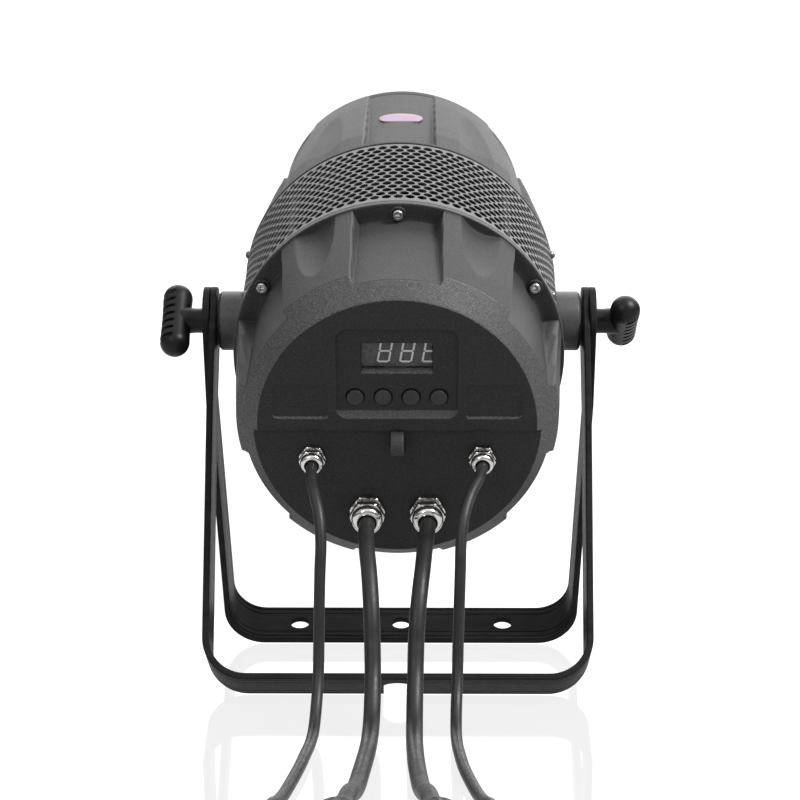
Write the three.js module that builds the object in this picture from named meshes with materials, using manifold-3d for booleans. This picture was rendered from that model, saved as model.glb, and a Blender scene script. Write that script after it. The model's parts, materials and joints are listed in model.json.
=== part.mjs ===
// Par can light on a double floor bracket: a stage lamp with a round can, a perforated cooling
// band, a control panel and four cable glands at the rear, hung between two splayed U-brackets.
// Millimetres, +Z up. The lamp shines along +Y and tips up; its control panel faces -Y.
// The origin is on the floor, under the middle of the lamp.

import * as THREE from 'three';
import { mergeVertices } from 'three/addons/utils/BufferGeometryUtils.js';
import Module from 'manifold-3d';

const wasm = await Module();
wasm.setup();

const GAP = 0.3;                       // clearance between touching pieces
const DEG = Math.PI / 180;

// ---- stand ----
const SPLAY = 25 * DEG;                // each bracket leans this far from upright
const STRIP_WIDTH = 37;
const STRIP_THICK = 4;
const LEG_LENGTH = 233.5;               // pivot to the outer face of the crossbar
const LEG_STRAIGHT = 50;               // legs stay parallel this far below the pivot
const CORNER_RADIUS = 26;              // outer radius of the bend
const END_RADIUS = 21.2;                // rounded leg end above the pivot
const INNER_HALF_TOP = 117.5;          // half width over the inner bracket at the pivot
const INNER_HALF_FOOT = 115.2;
const OUTER_HALF_TOP = INNER_HALF_TOP + STRIP_THICK + GAP;
const OUTER_HALF_FOOT = 116.6;
const CLAMP_HOLE = 6.5;                // radius, three in the outer crossbar
const CLAMP_SPACING = 68;
const SLOT_WIDTH = 17;                 // open slot in the lower edge of the inner crossbar
const SLOT_DEPTH = 27.5;

// ---- can, measured along its axis from the pivot, front positive ----
const TILT = 22.5 * DEG;
const FACE_RADIUS = 80;                // flat rear face
const FACE_Y = -142;
const STEP_DEPTH = 2.5;                // lower half of the rear face sits this much deeper
const STEP_Z = -2.6;
const CHAMFER_RADIUS = 92.7;
const CHAMFER_Y = -129.9;
const LOBE_RADIUS = 99.2;              // lobes where they meet the flange
const FLANGE_RADIUS = 100.3;
const REAR_FLANGE_Y = [-50.7, -44];
const FRONT_RING_Y = [49, 52.6];
const FRONT_RING_RADIUS = 99.4;
const COLLAR_Y = [53, 75.5];          // widest part of the front housing
const COLLAR_RADIUS = 98.6;
const BEZEL_RADIUS = 81.3;
const BEZEL_Y = 186.5;
const FRONT_Y = 193.5;
const SHELL_RADIUS = 84;               // inside of the rear housing
const WALL = 4;
const LOBES = 6;
const REAR_POCKET = { half: 25.8, floor: 89 };    // round floor about the can's axis
const FRONT_CHANNEL = { half: 22.5, floorBack: 90.5, floorFront: 80 };
const SCOOP_RADIUS = 20;               // thumb scoops in the lobes
const SCOOP_DEPTH = 4;
const BAND_RADIUS = 99;
const BAND_THICK = 1;

// ---- rear face fittings: x across and z up from the can's axis ----
const CONTROL_RECESS = { width: 69.5, height: 56.6, z: 33.6, radius: 7, depth: 2 };
const WINDOW = { width: 40.6, height: 17, z: 44.1 };
const DISPLAY = { width: 50, depth: 7, height: 19, z: 46 };
const CONTROL_BOARD = { width: 72, thick: 1.6, height: 56, z: 34, depth: 10.5 };
const LABEL_POCKET = { width: 32, height: 21.6, x: 55.2, z: 16, radius: 3, depth: 1 };
const BUTTON_Z = 18.3;
const BUTTON_PITCH = 15.9;
const BUTTON_RADIUS = 4.9;
const SIGNAL_GLAND = { x: 49, z: -20.5, flats: 14, length: 12, cord: 6.4 };
const POWER_GLAND = { x: 17.6, z: -55.9, flats: 19, length: 16, cord: 9.3 };
const ARCH_RADIUS = 19;                // the face's step rises over each signal gland
const EYE = { width: 7.6, reach: 11, height: 14, hole: 3.2 };
const SCREW_CIRCLE = 94;
const SCREW_HEAD = 3.3;

// ---- pivot hardware ----
const BOSS_RADIUS = 18.5;
const BOSS_X = [72.4, 112];
const STUD_RADIUS = 3.9;
const KNOB_X = 139.5;                  // middle of the grip
const GRIP_RADIUS = 9.3;
const GRIP_HALF = 17;                  // half distance between the grip's round ends
const HUB_RADIUS = 7.8;
const KNOB_TURN = { left: -41 * DEG, right: 65 * DEG };

const PIVOT_Z = LEG_LENGTH * Math.cos(SPLAY) + STRIP_WIDTH / 2 * Math.sin(SPLAY);
const REACH_FRONT = FRONT_Y * Math.cos(TILT) + (BEZEL_RADIUS - 1.5) * Math.sin(TILT);
const REACH_REAR = -FACE_Y * Math.cos(TILT) + FACE_RADIUS * Math.sin(TILT);
const PIVOT_Y = -(REACH_FRONT - REACH_REAR) / 2;

// ---------------------------------------------------------------- materials
function finish(color, roughness, metalness) {
  return new THREE.MeshStandardMaterial({ color, roughness, metalness });
}
const POWDER = () => finish(0x2b2b2d, 0.75, 0.2);
const SATIN_BLACK = () => finish(0x1b1b1c, 0.5, 0.3);
const NICKEL = () => finish(0xc9c7c2, 0.25, 1);
const STEEL = () => finish(0xb4b6b8, 0.3, 1);
const ALUMINIUM = () => finish(0xa8aaad, 0.45, 1);
const RUBBER = () => finish(0x18181a, 0.8, 0);
const PLASTIC = () => finish(0x151516, 0.55, 0);
const BOARD = () => finish(0x1d5a33, 0.6, 0);

// ---------------------------------------------------------------- solid helpers
function toSolid(geometry) {
  let source = geometry.clone();
  source.deleteAttribute('normal');
  source.deleteAttribute('uv');
  source = mergeVertices(source, 1e-4);
  const triVerts = Uint32Array.from(source.index.array);
  const vertProperties = Float32Array.from(source.attributes.position.array);
  const made = new wasm.Manifold(new wasm.Mesh({ numProp: 3, vertProperties, triVerts }));
  if (made.volume() > 0) return made;
  for (let i = 0; i < triVerts.length; i += 3) {
    [triVerts[i], triVerts[i + 1]] = [triVerts[i + 1], triVerts[i]];
  }
  return new wasm.Manifold(new wasm.Mesh({ numProp: 3, vertProperties, triVerts }));
}

function toGeometry(solid) {
  const mesh = solid.getMesh();
  const geometry = new THREE.BufferGeometry();
  geometry.setAttribute('position', new THREE.BufferAttribute(mesh.vertProperties, 3));
  geometry.setIndex(new THREE.BufferAttribute(mesh.triVerts, 1));
  geometry.computeVertexNormals();
  return geometry;
}

// a solid of revolution about Y, from [radius, y] points; a profile that doesn't start on the
// axis closes on itself
function turned(points, segments) {
  const loop = points[0][0] === 0 ? points : [...points, points[0]];
  const profile = loop.map(([r, y]) => new THREE.Vector2(r, y));
  return toSolid(new THREE.LatheGeometry(profile, segments));
}

// a round rod along X, Y or Z
function rod(axis, radius, from, to, segments = 32) {
  const geometry = new THREE.CylinderGeometry(radius, radius, to - from, segments);
  geometry.translate(0, (from + to) / 2, 0);
  if (axis === 'x') geometry.rotateZ(-Math.PI / 2);
  if (axis === 'z') geometry.rotateX(Math.PI / 2);
  return toSolid(geometry);
}

function block(width, depth, height, x = 0, y = 0, z = 0) {
  const geometry = new THREE.BoxGeometry(width, depth, height);
  geometry.translate(x, y, z);
  return toSolid(geometry);
}

// a flat outline in X and Z, made thick along Y between two depths
function plate(shape, from, to, curveSegments = 6) {
  const options = { depth: to - from, bevelEnabled: false, curveSegments };
  const geometry = new THREE.ExtrudeGeometry(shape, options);
  geometry.rotateX(Math.PI / 2);
  geometry.translate(0, to, 0);
  return toSolid(geometry);
}

function roundedRectangle(width, height, radius, x = 0, z = 0) {
  const shape = new THREE.Shape();
  const [l, r, b, t] = [x - width / 2, x + width / 2, z - height / 2, z + height / 2];
  shape.moveTo(l + radius, b);
  shape.lineTo(r - radius, b);
  shape.absarc(r - radius, b + radius, radius, -Math.PI / 2, 0, false);
  shape.absarc(r - radius, t - radius, radius, 0, Math.PI / 2, false);
  shape.absarc(l + radius, t - radius, radius, Math.PI / 2, Math.PI, false);
  shape.absarc(l + radius, b + radius, radius, Math.PI, 1.5 * Math.PI, false);
  return shape;
}

function hexagon(flats) {
  const shape = new THREE.Shape();
  for (let i = 0; i < 6; i += 1) {
    const angle = i * Math.PI / 3;
    const corner = flats / Math.sqrt(3);
    const [x, z] = [corner * Math.cos(angle), corner * Math.sin(angle)];
    if (i === 0) shape.moveTo(x, z);
    else shape.lineTo(x, z);
  }
  shape.closePath();
  return shape;
}

// turn a solid about the can's axis; angle 0 is the top, positive goes to +X
function around(solid, angle) {
  return solid.rotate([0, angle / DEG, 0]);
}

const group = new THREE.Group();
const can = new THREE.Group();
can.position.set(0, PIVOT_Y, PIVOT_Z);
can.rotation.x = TILT;
group.add(can);

function add(parent, name, solid, material) {
  const mesh = new THREE.Mesh(toGeometry(solid), material);
  mesh.name = name;
  parent.add(mesh);
  return mesh;
}

// ---------------------------------------------------------------- stand brackets
// Local frame: pivot at the origin, legs down -Z, strip width along Y.
function bracketOutline(halfTop, halfFoot) {
  const inner = CORNER_RADIUS - STRIP_THICK;
  const arcSteps = 6;
  const side = (offset, radius) => {
    const points = [[halfTop - offset, END_RADIUS], [halfTop - offset, -LEG_STRAIGHT]];
    const centre = [halfFoot - CORNER_RADIUS, -LEG_LENGTH + CORNER_RADIUS];
    for (let i = 0; i <= arcSteps; i += 1) {
      const angle = -Math.PI / 2 * i / arcSteps;
      points.push([centre[0] + radius * Math.cos(angle), centre[1] + radius * Math.sin(angle)]);
    }
    return points;
  };
  const outerSide = side(0, CORNER_RADIUS);
  const innerSide = side(STRIP_THICK, inner);
  const mirror = (points) => points.map(([x, z]) => [-x, z]).reverse();
  const loop = [...outerSide, ...mirror(outerSide), ...mirror(innerSide).reverse(), ...innerSide.reverse()];
  const shape = new THREE.Shape();
  loop.forEach(([x, z], i) => (i ? shape.lineTo(x, z) : shape.moveTo(x, z)));
  shape.closePath();
  return shape;
}

function bracket(halfTop, halfFoot) {
  const strip = plate(bracketOutline(halfTop, halfFoot), -STRIP_WIDTH / 2, STRIP_WIDTH / 2);
  const span = 2 * halfTop + 10;
  const roundEnd = rod('x', END_RADIUS, -span / 2, span / 2, 32);
  const below = block(span, STRIP_WIDTH + 2, LEG_LENGTH + 10, 0, 0, -(LEG_LENGTH + 10) / 2);
  let solid = strip.intersect(roundEnd.add(below));
  solid = solid.subtract(rod('x', STUD_RADIUS + GAP, -span / 2, span / 2, 16));
  return solid;
}

// a vertical cutter that passes through a crossbar
function crossbarCut(radius, x, y) {
  return rod('z', radius, -LEG_LENGTH - 5, -LEG_LENGTH + 15, 24).translate([x, y, 0]);
}

function addBrackets() {
  let outerStrip = bracket(OUTER_HALF_TOP, OUTER_HALF_FOOT);
  for (const i of [-1, 0, 1]) {
    outerStrip = outerStrip.subtract(crossbarCut(CLAMP_HOLE, i * CLAMP_SPACING, 0));
  }
  const slotEnd = STRIP_WIDTH / 2 - SLOT_DEPTH + SLOT_WIDTH / 2;
  const slotMouth = block(SLOT_WIDTH, 40, 20, 0, slotEnd + 20, -LEG_LENGTH + 5);
  const innerStrip = bracket(INNER_HALF_TOP, INNER_HALF_FOOT)
    .subtract(crossbarCut(SLOT_WIDTH / 2, 0, slotEnd).add(slotMouth));
  const outer = add(group, 'outer_bracket', outerStrip, SATIN_BLACK());
  const inner = add(group, 'inner_bracket', innerStrip, SATIN_BLACK());
  for (const [mesh, turn] of [[outer, SPLAY], [inner, -SPLAY]]) {
    mesh.position.set(0, PIVOT_Y, PIVOT_Z);
    mesh.rotation.x = turn;
  }
}

// ---------------------------------------------------------------- pivot hardware
function grip() {
  const steps = 4;
  const profile = [];
  for (let i = 0; i <= steps; i += 1) {
    const angle = -Math.PI / 2 + Math.PI / 2 * i / steps;
    profile.push([GRIP_RADIUS * Math.cos(angle), -GRIP_HALF + GRIP_RADIUS * Math.sin(angle)]);
  }
  for (let i = 0; i <= steps; i += 1) {
    const angle = Math.PI / 2 * i / steps;
    profile.push([GRIP_RADIUS * Math.cos(angle), GRIP_HALF + GRIP_RADIUS * Math.sin(angle)]);
  }
  profile[0][0] = 0;
  profile[profile.length - 1][0] = 0;
  return turned(profile, 20).rotate([90, 0, 0]);
}

function addPivots() {
  for (const [side, sign] of [['left', -1], ['right', 1]]) {
    const mirrored = (solid) => (sign > 0 ? solid : solid.rotate([0, 0, 180]));
    const outerFace = OUTER_HALF_TOP + GAP;
    const boss = turned([
      [STUD_RADIUS + GAP, BOSS_X[0]],
      [BOSS_RADIUS, BOSS_X[0]],
      [BOSS_RADIUS, BOSS_X[1] - 1.5],
      [BOSS_RADIUS - 1.5, BOSS_X[1]],
      [STUD_RADIUS + GAP, BOSS_X[1]],
    ], 28).rotate([0, 0, -90]);
    add(can, `pivot_boss_${side}`, mirrored(boss), POWDER());

    const innerFace = INNER_HALF_TOP - STRIP_THICK;
    const washer = rod('x', 15.5, BOSS_X[1] + GAP, innerFace - GAP, 28)
      .subtract(rod('x', STUD_RADIUS + GAP, BOSS_X[1], innerFace, 16));
    add(can, `friction_washer_${side}`, mirrored(washer), RUBBER());

    const hub = rod('x', HUB_RADIUS, outerFace, KNOB_X, 20);
    const socket = rod('x', STUD_RADIUS + GAP, outerFace - 1, outerFace + 9, 16);
    const handle = grip().translate([KNOB_X, 0, 0]).add(hub).subtract(socket);
    const knob = add(group, `knob_${side}`, mirrored(handle), RUBBER());
    const stud = rod('x', STUD_RADIUS, BOSS_X[0] + 6, outerFace + 8.5, 16);
    const studMesh = add(group, `knob_stud_${side}`, mirrored(stud), STEEL());
    for (const mesh of [knob, studMesh]) {
      mesh.position.set(0, PIVOT_Y, PIVOT_Z);
      mesh.rotation.x = KNOB_TURN[side];
    }
  }
}

// ---------------------------------------------------------------- rear housing
function rearHousing() {
  let body = turned([
    [0, FACE_Y],
    [FACE_RADIUS, FACE_Y],
    [CHAMFER_RADIUS, CHAMFER_Y],
    [LOBE_RADIUS, REAR_FLANGE_Y[0]],
    [FLANGE_RADIUS, REAR_FLANGE_Y[0]],
    [FLANGE_RADIUS, REAR_FLANGE_Y[1]],
    [0, REAR_FLANGE_Y[1]],
  ], 72);
  const cavity = turned([
    [0, FACE_Y + WALL + STEP_DEPTH],
    [FACE_RADIUS - 4, FACE_Y + WALL + STEP_DEPTH],
    [SHELL_RADIUS, CHAMFER_Y + 2],
    [SHELL_RADIUS, REAR_FLANGE_Y[1] + 1],
    [0, REAR_FLANGE_Y[1] + 1],
  ], 48);
  const length = REAR_FLANGE_Y[0] - FACE_Y + 10;
  const middle = REAR_FLANGE_Y[0] - length / 2;
  for (let i = 0; i < LOBES; i += 1) {
    const angle = i * Math.PI / 3;
    const pocket = block(2 * REAR_POCKET.half, length, 60, 0, middle, REAR_POCKET.floor)
      .subtract(rod('y', REAR_POCKET.floor, FACE_Y - 20, REAR_FLANGE_Y[1], 72));
    const scoop = rod('y', SCOOP_RADIUS, middle - length / 2, REAR_FLANGE_Y[0], 32)
      .translate([0, 0, LOBE_RADIUS - SCOOP_DEPTH + SCOOP_RADIUS]);
    body = body.subtract(around(pocket, angle));
    body = body.subtract(around(scoop, angle + Math.PI / 6));
  }
  // the lower half of the face is a step deeper, arched over the two signal glands
  let lower = block(200, STEP_DEPTH, 120, 0, FACE_Y + STEP_DEPTH / 2, STEP_Z - 60);
  for (const sign of [-1, 1]) {
    const arch = rod('y', ARCH_RADIUS, FACE_Y, FACE_Y + STEP_DEPTH, 40);
    lower = lower.add(arch.translate([sign * SIGNAL_GLAND.x, 0, SIGNAL_GLAND.z]));
  }
  lower = lower.translate([0, -0.01, 0]);
  body = body.subtract(lower).subtract(cavity);

  const r = CONTROL_RECESS;
  body = body.subtract(plate(roundedRectangle(r.width, r.height, r.radius, 0, r.z),
    FACE_Y - 1, FACE_Y + r.depth));
  const p = LABEL_POCKET;
  for (const sign of [-1, 1]) {
    body = body.subtract(plate(roundedRectangle(p.width, p.height, p.radius, sign * p.x, p.z),
      FACE_Y - 1, FACE_Y + p.depth, 4));
  }
  body = body.subtract(block(WINDOW.width, 20, WINDOW.height, 0, FACE_Y, WINDOW.z));
  for (let i = 0; i < 4; i += 1) {
    const hole = rod('y', BUTTON_RADIUS + GAP, FACE_Y - 1, FACE_Y + 10, 16);
    body = body.subtract(hole.translate([(i - 1.5) * BUTTON_PITCH, 0, BUTTON_Z]));
  }
  for (const gland of [SIGNAL_GLAND, POWER_GLAND]) {
    for (const sign of [-1, 1]) {
      const hole = rod('y', gland.flats * 0.38 + GAP, FACE_Y - 1, FACE_Y + 12, 20);
      body = body.subtract(hole.translate([sign * gland.x, 0, gland.z]));
    }
  }
  for (let i = 0; i < LOBES; i += 1) {
    const hole = rod('y', 1.9, REAR_FLANGE_Y[0] - 1, REAR_FLANGE_Y[1] + 1, 10)
      .translate([0, 0, SCREW_CIRCLE]);
    body = body.subtract(around(hole, i * Math.PI / 3));
  }
  return body;
}

// cap screws that hold the rear housing on, one in each pocket
function addHousingScrews() {
  for (let i = 0; i < LOBES; i += 1) {
    const head = REAR_FLANGE_Y[0] - GAP;
    const screw = turned([
      [0, head - 4],
      [SCREW_HEAD, head - 4],
      [SCREW_HEAD, head],
      [1.6, head],
      [1.6, REAR_FLANGE_Y[1] + 6],
      [0, REAR_FLANGE_Y[1] + 6],
    ], 12).translate([0, 0, SCREW_CIRCLE]);
    add(can, `housing_screw_${i + 1}`, around(screw, i * Math.PI / 3), STEEL());
  }
}

// ---------------------------------------------------------------- control panel
function addControls() {
  const recessY = FACE_Y + CONTROL_RECESS.depth;
  const innerY = FACE_Y + WALL + STEP_DEPTH;
  const pane = block(WINDOW.width - 2 * GAP, 1.6, WINDOW.height - 2 * GAP,
    0, recessY + 1.4, WINDOW.z);
  add(can, 'display_window', pane, finish(0x2a1a1a, 0.15, 0));
  const digits = block(DISPLAY.width, DISPLAY.depth, DISPLAY.height,
    0, innerY + GAP + DISPLAY.depth / 2, DISPLAY.z);
  add(can, 'display_module', digits, PLASTIC());
  const board = block(CONTROL_BOARD.width, CONTROL_BOARD.thick, CONTROL_BOARD.height,
    0, innerY + CONTROL_BOARD.depth, CONTROL_BOARD.z);
  add(can, 'control_board', board, BOARD());
  const names = ['menu', 'up', 'down', 'enter'];
  names.forEach((name, i) => {
    const button = turned([
      [0, recessY - 1.6],
      [BUTTON_RADIUS - 0.8, recessY - 1.6],
      [BUTTON_RADIUS, recessY - 0.8],
      [BUTTON_RADIUS, innerY + GAP],
      [BUTTON_RADIUS + 1.2, innerY + GAP],
      [BUTTON_RADIUS + 1.2, innerY + 1.5],
      [0, innerY + 1.5],
    ], 16).translate([(i - 1.5) * BUTTON_PITCH, 0, BUTTON_Z]);
    add(can, `button_${name}`, button, RUBBER());
  });
}

// ---------------------------------------------------------------- cable glands
function gland(spec) {
  const face = FACE_Y + STEP_DEPTH;
  const collar = spec.length * 0.3;
  const bore = spec.cord / 2 + 0.4;
  const thread = spec.flats * 0.38;
  const through = rod('y', bore, face - spec.length - 5, face + 25, 20);
  const body = plate(hexagon(spec.flats), face - GAP - collar, face - GAP)
    .add(rod('y', thread, face - collar - GAP - 1.2, face + 8, 20))
    .subtract(through);
  const start = face - collar - GAP - 1.5;
  const tip = face - spec.length;
  const flat = start - (start - tip) * 0.62;
  const dome = turned([
    [bore, start],
    [spec.flats * 0.56, start],
    [spec.flats * 0.56, flat],
    [spec.flats * 0.47, flat - 0.6],
    [spec.flats * 0.44, tip + 1.6],
    [spec.flats * 0.36, tip],
    [bore, tip],
  ], 24);
  const nut = plate(hexagon(spec.flats), tip - 1, start).intersect(dome);
  return { body, nut };
}

function addGlands() {
  for (const [kind, spec] of [['signal', SIGNAL_GLAND], ['power', POWER_GLAND]]) {
    for (const [way, sign] of [['in', -1], ['out', 1]]) {
      const { body, nut } = gland(spec);
      const place = [sign * spec.x, 0, spec.z];
      add(can, `${kind}_${way}_gland_body`, body.translate(place), NICKEL());
      add(can, `${kind}_${way}_gland_nut`, nut.translate(place), NICKEL());
    }
  }
}

// the safety cable's eye: a tab with a cross hole, on the middle of the rear face
function addSafetyEye() {
  const face = FACE_Y + STEP_DEPTH - GAP;
  const round = EYE.height / 2;
  const centre = -(EYE.reach - round);
  const tab = new THREE.Shape();
  tab.moveTo(0, 0);
  tab.lineTo(centre, 0);
  tab.absarc(centre, -round, round, Math.PI / 2, 1.5 * Math.PI, false);
  tab.lineTo(0, -EYE.height);
  tab.closePath();
  const hole = new THREE.Path();
  hole.absarc(centre - 0.2, -round, EYE.hole, 0, 2 * Math.PI, true);
  tab.holes.push(hole);
  const options = { depth: EYE.width, bevelEnabled: false, curveSegments: 10 };
  const geometry = new THREE.ExtrudeGeometry(tab, options);
  geometry.applyMatrix4(new THREE.Matrix4().makeBasis(
    new THREE.Vector3(0, 1, 0), new THREE.Vector3(0, 0, 1), new THREE.Vector3(1, 0, 0)));
  geometry.translate(-EYE.width / 2, face, STEP_Z - GAP);
  add(can, 'safety_eye', toSolid(geometry), POWDER());
}

// ---------------------------------------------------------------- middle section
function addMiddle() {
  const from = REAR_FLANGE_Y[1] + GAP;
  const to = FRONT_RING_Y[0] - GAP;
  let band = turned([
    [BAND_RADIUS - BAND_THICK, from],
    [BAND_RADIUS, from],
    [BAND_RADIUS, to],
    [BAND_RADIUS - BAND_THICK, to],
  ], 72);
  for (const reach of [[-120, -50], [50, 120]]) {
    band = band.subtract(rod('x', BOSS_RADIUS + GAP, reach[0], reach[1], 28));
  }
  add(can, 'mesh_band', band, POWDER());

  for (let i = 0; i < 4; i += 1) {
    const angle = (i + 0.5) * Math.PI / 2;
    const tie = rod('y', 3, from, to, 12).translate([0, 0, SCREW_CIRCLE - 2]);
    add(can, `tie_rod_${i + 1}`, around(tie, angle), STEEL());
  }

  const cover = rod('y', SHELL_RADIUS - GAP, REAR_FLANGE_Y[1] - 3, REAR_FLANGE_Y[1], 48)
    .subtract(rod('y', 8, REAR_FLANGE_Y[1] - 5, REAR_FLANGE_Y[1] + 5, 20).translate([0, 0, -60]));
  add(can, 'bulkhead_plate', cover, ALUMINIUM());

  const fins = 28;
  const outline = new THREE.Shape();
  for (let i = 0; i < fins; i += 1) {
    const angle = i * 2 * Math.PI / fins;
    const corners = [[38, -0.075], [72, -0.018], [72, 0.018], [38, 0.075]];
    for (const [radius, offset] of corners) {
      const [x, z] = [radius * Math.cos(angle + offset), radius * Math.sin(angle + offset)];
      if (i === 0 && radius === 38 && offset < 0) outline.moveTo(x, z);
      else outline.lineTo(x, z);
    }
  }
  outline.closePath();
  add(can, 'heat_sink', plate(outline, -14, to), ALUMINIUM());

  const ring = turned([
    [SHELL_RADIUS, FRONT_RING_Y[0]],
    [FRONT_RING_RADIUS, FRONT_RING_Y[0]],
    [FRONT_RING_RADIUS, FRONT_RING_Y[1]],
    [SHELL_RADIUS, FRONT_RING_Y[1]],
  ], 72);
  add(can, 'front_ring', ring, POWDER());

  const frameY = [-40, -15];
  const frame = plate(roundedRectangle(92, 92, 5), frameY[0], frameY[1])
    .subtract(rod('y', 43, frameY[0] - 1, frameY[1] - 2.5, 32))
    .subtract(rod('y', 43, frameY[1] - 3, frameY[1] + 1, 32)
      .subtract(rod('y', 15, frameY[1] - 4, frameY[1] + 2, 16))
      .subtract(block(6, 10, 100, 0, frameY[1] - 1, 0))
      .subtract(block(100, 10, 6, 0, frameY[1] - 1, 0)));
  add(can, 'fan_frame', frame, PLASTIC());
  let rotor = rod('y', 16, frameY[0] + 2, frameY[1] - 3, 20);
  for (let i = 0; i < 7; i += 1) {
    const blade = block(1.8, 16, 28).rotate([0, 0, 28]).translate([0, frameY[0] + 11, 28]);
    rotor = rotor.add(around(blade, i * 2 * Math.PI / 7));
  }
  const sweep = rod('y', 41, frameY[0] + 2, frameY[1] - 3, 28);
  add(can, 'fan_rotor', rotor.intersect(sweep), PLASTIC());
}

// ---------------------------------------------------------------- front housing and optics
function frontHousing() {
  const [back, lip] = COLLAR_Y;
  let body = turned([
    [0, back],
    [COLLAR_RADIUS, back],
    [COLLAR_RADIUS - 1, lip],
    [93.4, 98],
    [89.2, 128],
    [85, 158],
    [BEZEL_RADIUS, BEZEL_Y - GAP],
    [0, BEZEL_Y - GAP],
  ], 72);
  const cavity = turned([
    [0, back + 5],
    [84, back + 5],
    [76, 128],
    [73.5, BEZEL_Y],
    [0, BEZEL_Y],
  ], 48);
  body = body.subtract(cavity).subtract(rod('y', 26, back - 1, back + 6, 32));
  const c = FRONT_CHANNEL;
  const core = turned([
    [0, back - 2],
    [c.floorBack, back - 2],
    [c.floorBack, lip],
    [c.floorFront, BEZEL_Y],
    [0, BEZEL_Y],
  ], 72);
  const channelEnd = BEZEL_Y - 3;
  const middle = (back - 1 + channelEnd) / 2;
  const groove = block(2 * c.half, channelEnd - back + 1, 60, 0, middle, c.floorBack)
    .subtract(core);
  const slope = Math.atan2(c.floorBack - c.floorFront, BEZEL_Y - lip);
  const thumb = rod('y', SCOOP_RADIUS, -40, 100, 32)
    .rotate([-slope / DEG * 0.55, 0, 0])
    .translate([0, lip, 93.5 + SCOOP_RADIUS])
    .intersect(block(100, 120, 200, 0, back + 59, 90));
  for (let i = 0; i < LOBES; i += 1) {
    body = body.subtract(around(groove, i * Math.PI / 3));
    body = body.subtract(around(thumb, (i + 0.5) * Math.PI / 3));
  }
  return body;
}

function addFront() {
  add(can, 'front_housing', frontHousing(), POWDER());
  const bezel = turned([
    [72.6, BEZEL_Y],
    [BEZEL_RADIUS, BEZEL_Y],
    [BEZEL_RADIUS, FRONT_Y - 1.5],
    [BEZEL_RADIUS - 1.5, FRONT_Y],
    [70.5, FRONT_Y],
    [70.5, FRONT_Y - 2.5],
    [72.6, FRONT_Y - 2.5],
  ], 64);
  add(can, 'front_bezel', bezel, POWDER());
  const glass = rod('y', 72.3, BEZEL_Y + GAP, FRONT_Y - 3, 48);
  add(can, 'lens_glass', glass, finish(0xd8dcde, 0.05, 0));
  const gasket = turned([
    [69, BEZEL_Y - 2.5],
    [72.8, BEZEL_Y - 2.5],
    [72.8, BEZEL_Y],
    [69, BEZEL_Y],
  ], 40);
  add(can, 'lens_gasket', gasket, RUBBER());
  const back = COLLAR_Y[0];
  const reflector = turned([
    [19, back + 12],
    [20.5, back + 12],
    [48, 116],
    [68, BEZEL_Y - 3],
    [66.5, BEZEL_Y - 3],
    [46.5, 116],
  ], 40);
  add(can, 'reflector', reflector, finish(0xd4d6d8, 0.12, 1));
  const chips = rod('y', 14, back + 8.4, back + 10.4, 24);
  const module = block(44, 3, 44, 0, back + 7, 0).add(chips);
  add(can, 'led_module', module, finish(0xe8d25a, 0.5, 0));
}

// ---------------------------------------------------------------- electronics
function addElectronics() {
  add(can, 'power_supply', block(96, 58, 42, 0, -94, -42), ALUMINIUM());
  add(can, 'driver_board', block(104, 60, 1.6, 0, -90, -6), BOARD());
}

// ---------------------------------------------------------------- cords
// Each route runs from its gland's mouth to the back of its connector, by hand-chosen points.
const CORDS = {
  signal_in: {
    spec: SIGNAL_GLAND, sign: -1,
    route: [[-48.6, -169.5, 136.6], [-46, -182, 129], [-43.2, -191.5, 118.5], [-42, -197, 105],
      [-42.4, -199.8, 89], [-42.8, -201, 70], [-43, -202.5, 50], [-43.2, -207, 31],
      [-43.9, -217, 16], [-44.6, -232, 6.6], [-45.5, -250, 3.6], [-46.8, -275, 3.6],
      [-48.5, -305, 3.6], [-50.8, -335, 3.6], [-53.2, -362, 3.6], [-55, -383, 5.4],
      [-56.6, -400, 8.4], [-57.8, -413, 9.2]],
    tail: [-59, -426, 9.2],
  },
  signal_out: {
    spec: SIGNAL_GLAND, sign: 1,
    route: [[46.6, -168.5, 137.2], [42, -180.5, 130], [38.2, -190.5, 120], [36.2, -196.5, 106],
      [35.7, -199.8, 90], [35.1, -201, 70], [34.5, -202.5, 50], [34.1, -207, 31],
      [33.4, -217, 16], [33.1, -232, 6.6], [33.4, -250, 3.6], [34.4, -275, 3.6],
      [36.1, -305, 3.6], [39, -335, 3.6], [42.3, -362, 3.6], [45, -383, 5.4],
      [47.2, -400, 8.4], [48.9, -413, 9.2]],
    tail: [50.5, -426, 9.2],
  },
  power_in: {
    spec: POWER_GLAND, sign: -1,
    route: [[-17.8, -158, 103.3], [-17.1, -170.5, 97], [-15.6, -183.5, 87.5], [-14.4, -195, 75.5],
      [-13.6, -202, 62], [-13.1, -206, 48], [-12.8, -211.5, 34], [-12.8, -221, 21.5],
      [-13.1, -235, 11], [-13.7, -253, 5.8], [-14.3, -275, 5.1], [-15.3, -300, 5.1],
      [-16.6, -328, 5.1], [-17.8, -352, 5.1], [-18.8, -372, 7.4], [-19.8, -391, 11.6],
      [-20.7, -408, 13.4]],
    tail: [-21.6, -424, 13.5],
  },
  power_out: {
    spec: POWER_GLAND, sign: 1,
    route: [[17, -158, 103.3], [15.9, -170.5, 97], [14.7, -183.5, 87.5], [13.1, -195, 75.5],
      [11.8, -202, 62], [11.1, -206, 48], [10.8, -211.5, 34], [10.5, -221, 21.5],
      [10.4, -235, 11], [10.5, -253, 5.8], [10.9, -275, 5.1], [11.6, -300, 5.1],
      [12.8, -328, 5.1], [14.2, -352, 5.1], [15.7, -372, 7.4], [17.1, -391, 11.6],
      [18.4, -408, 13.4]],
    tail: [19.6, -424, 13.5],
  },
};

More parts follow.
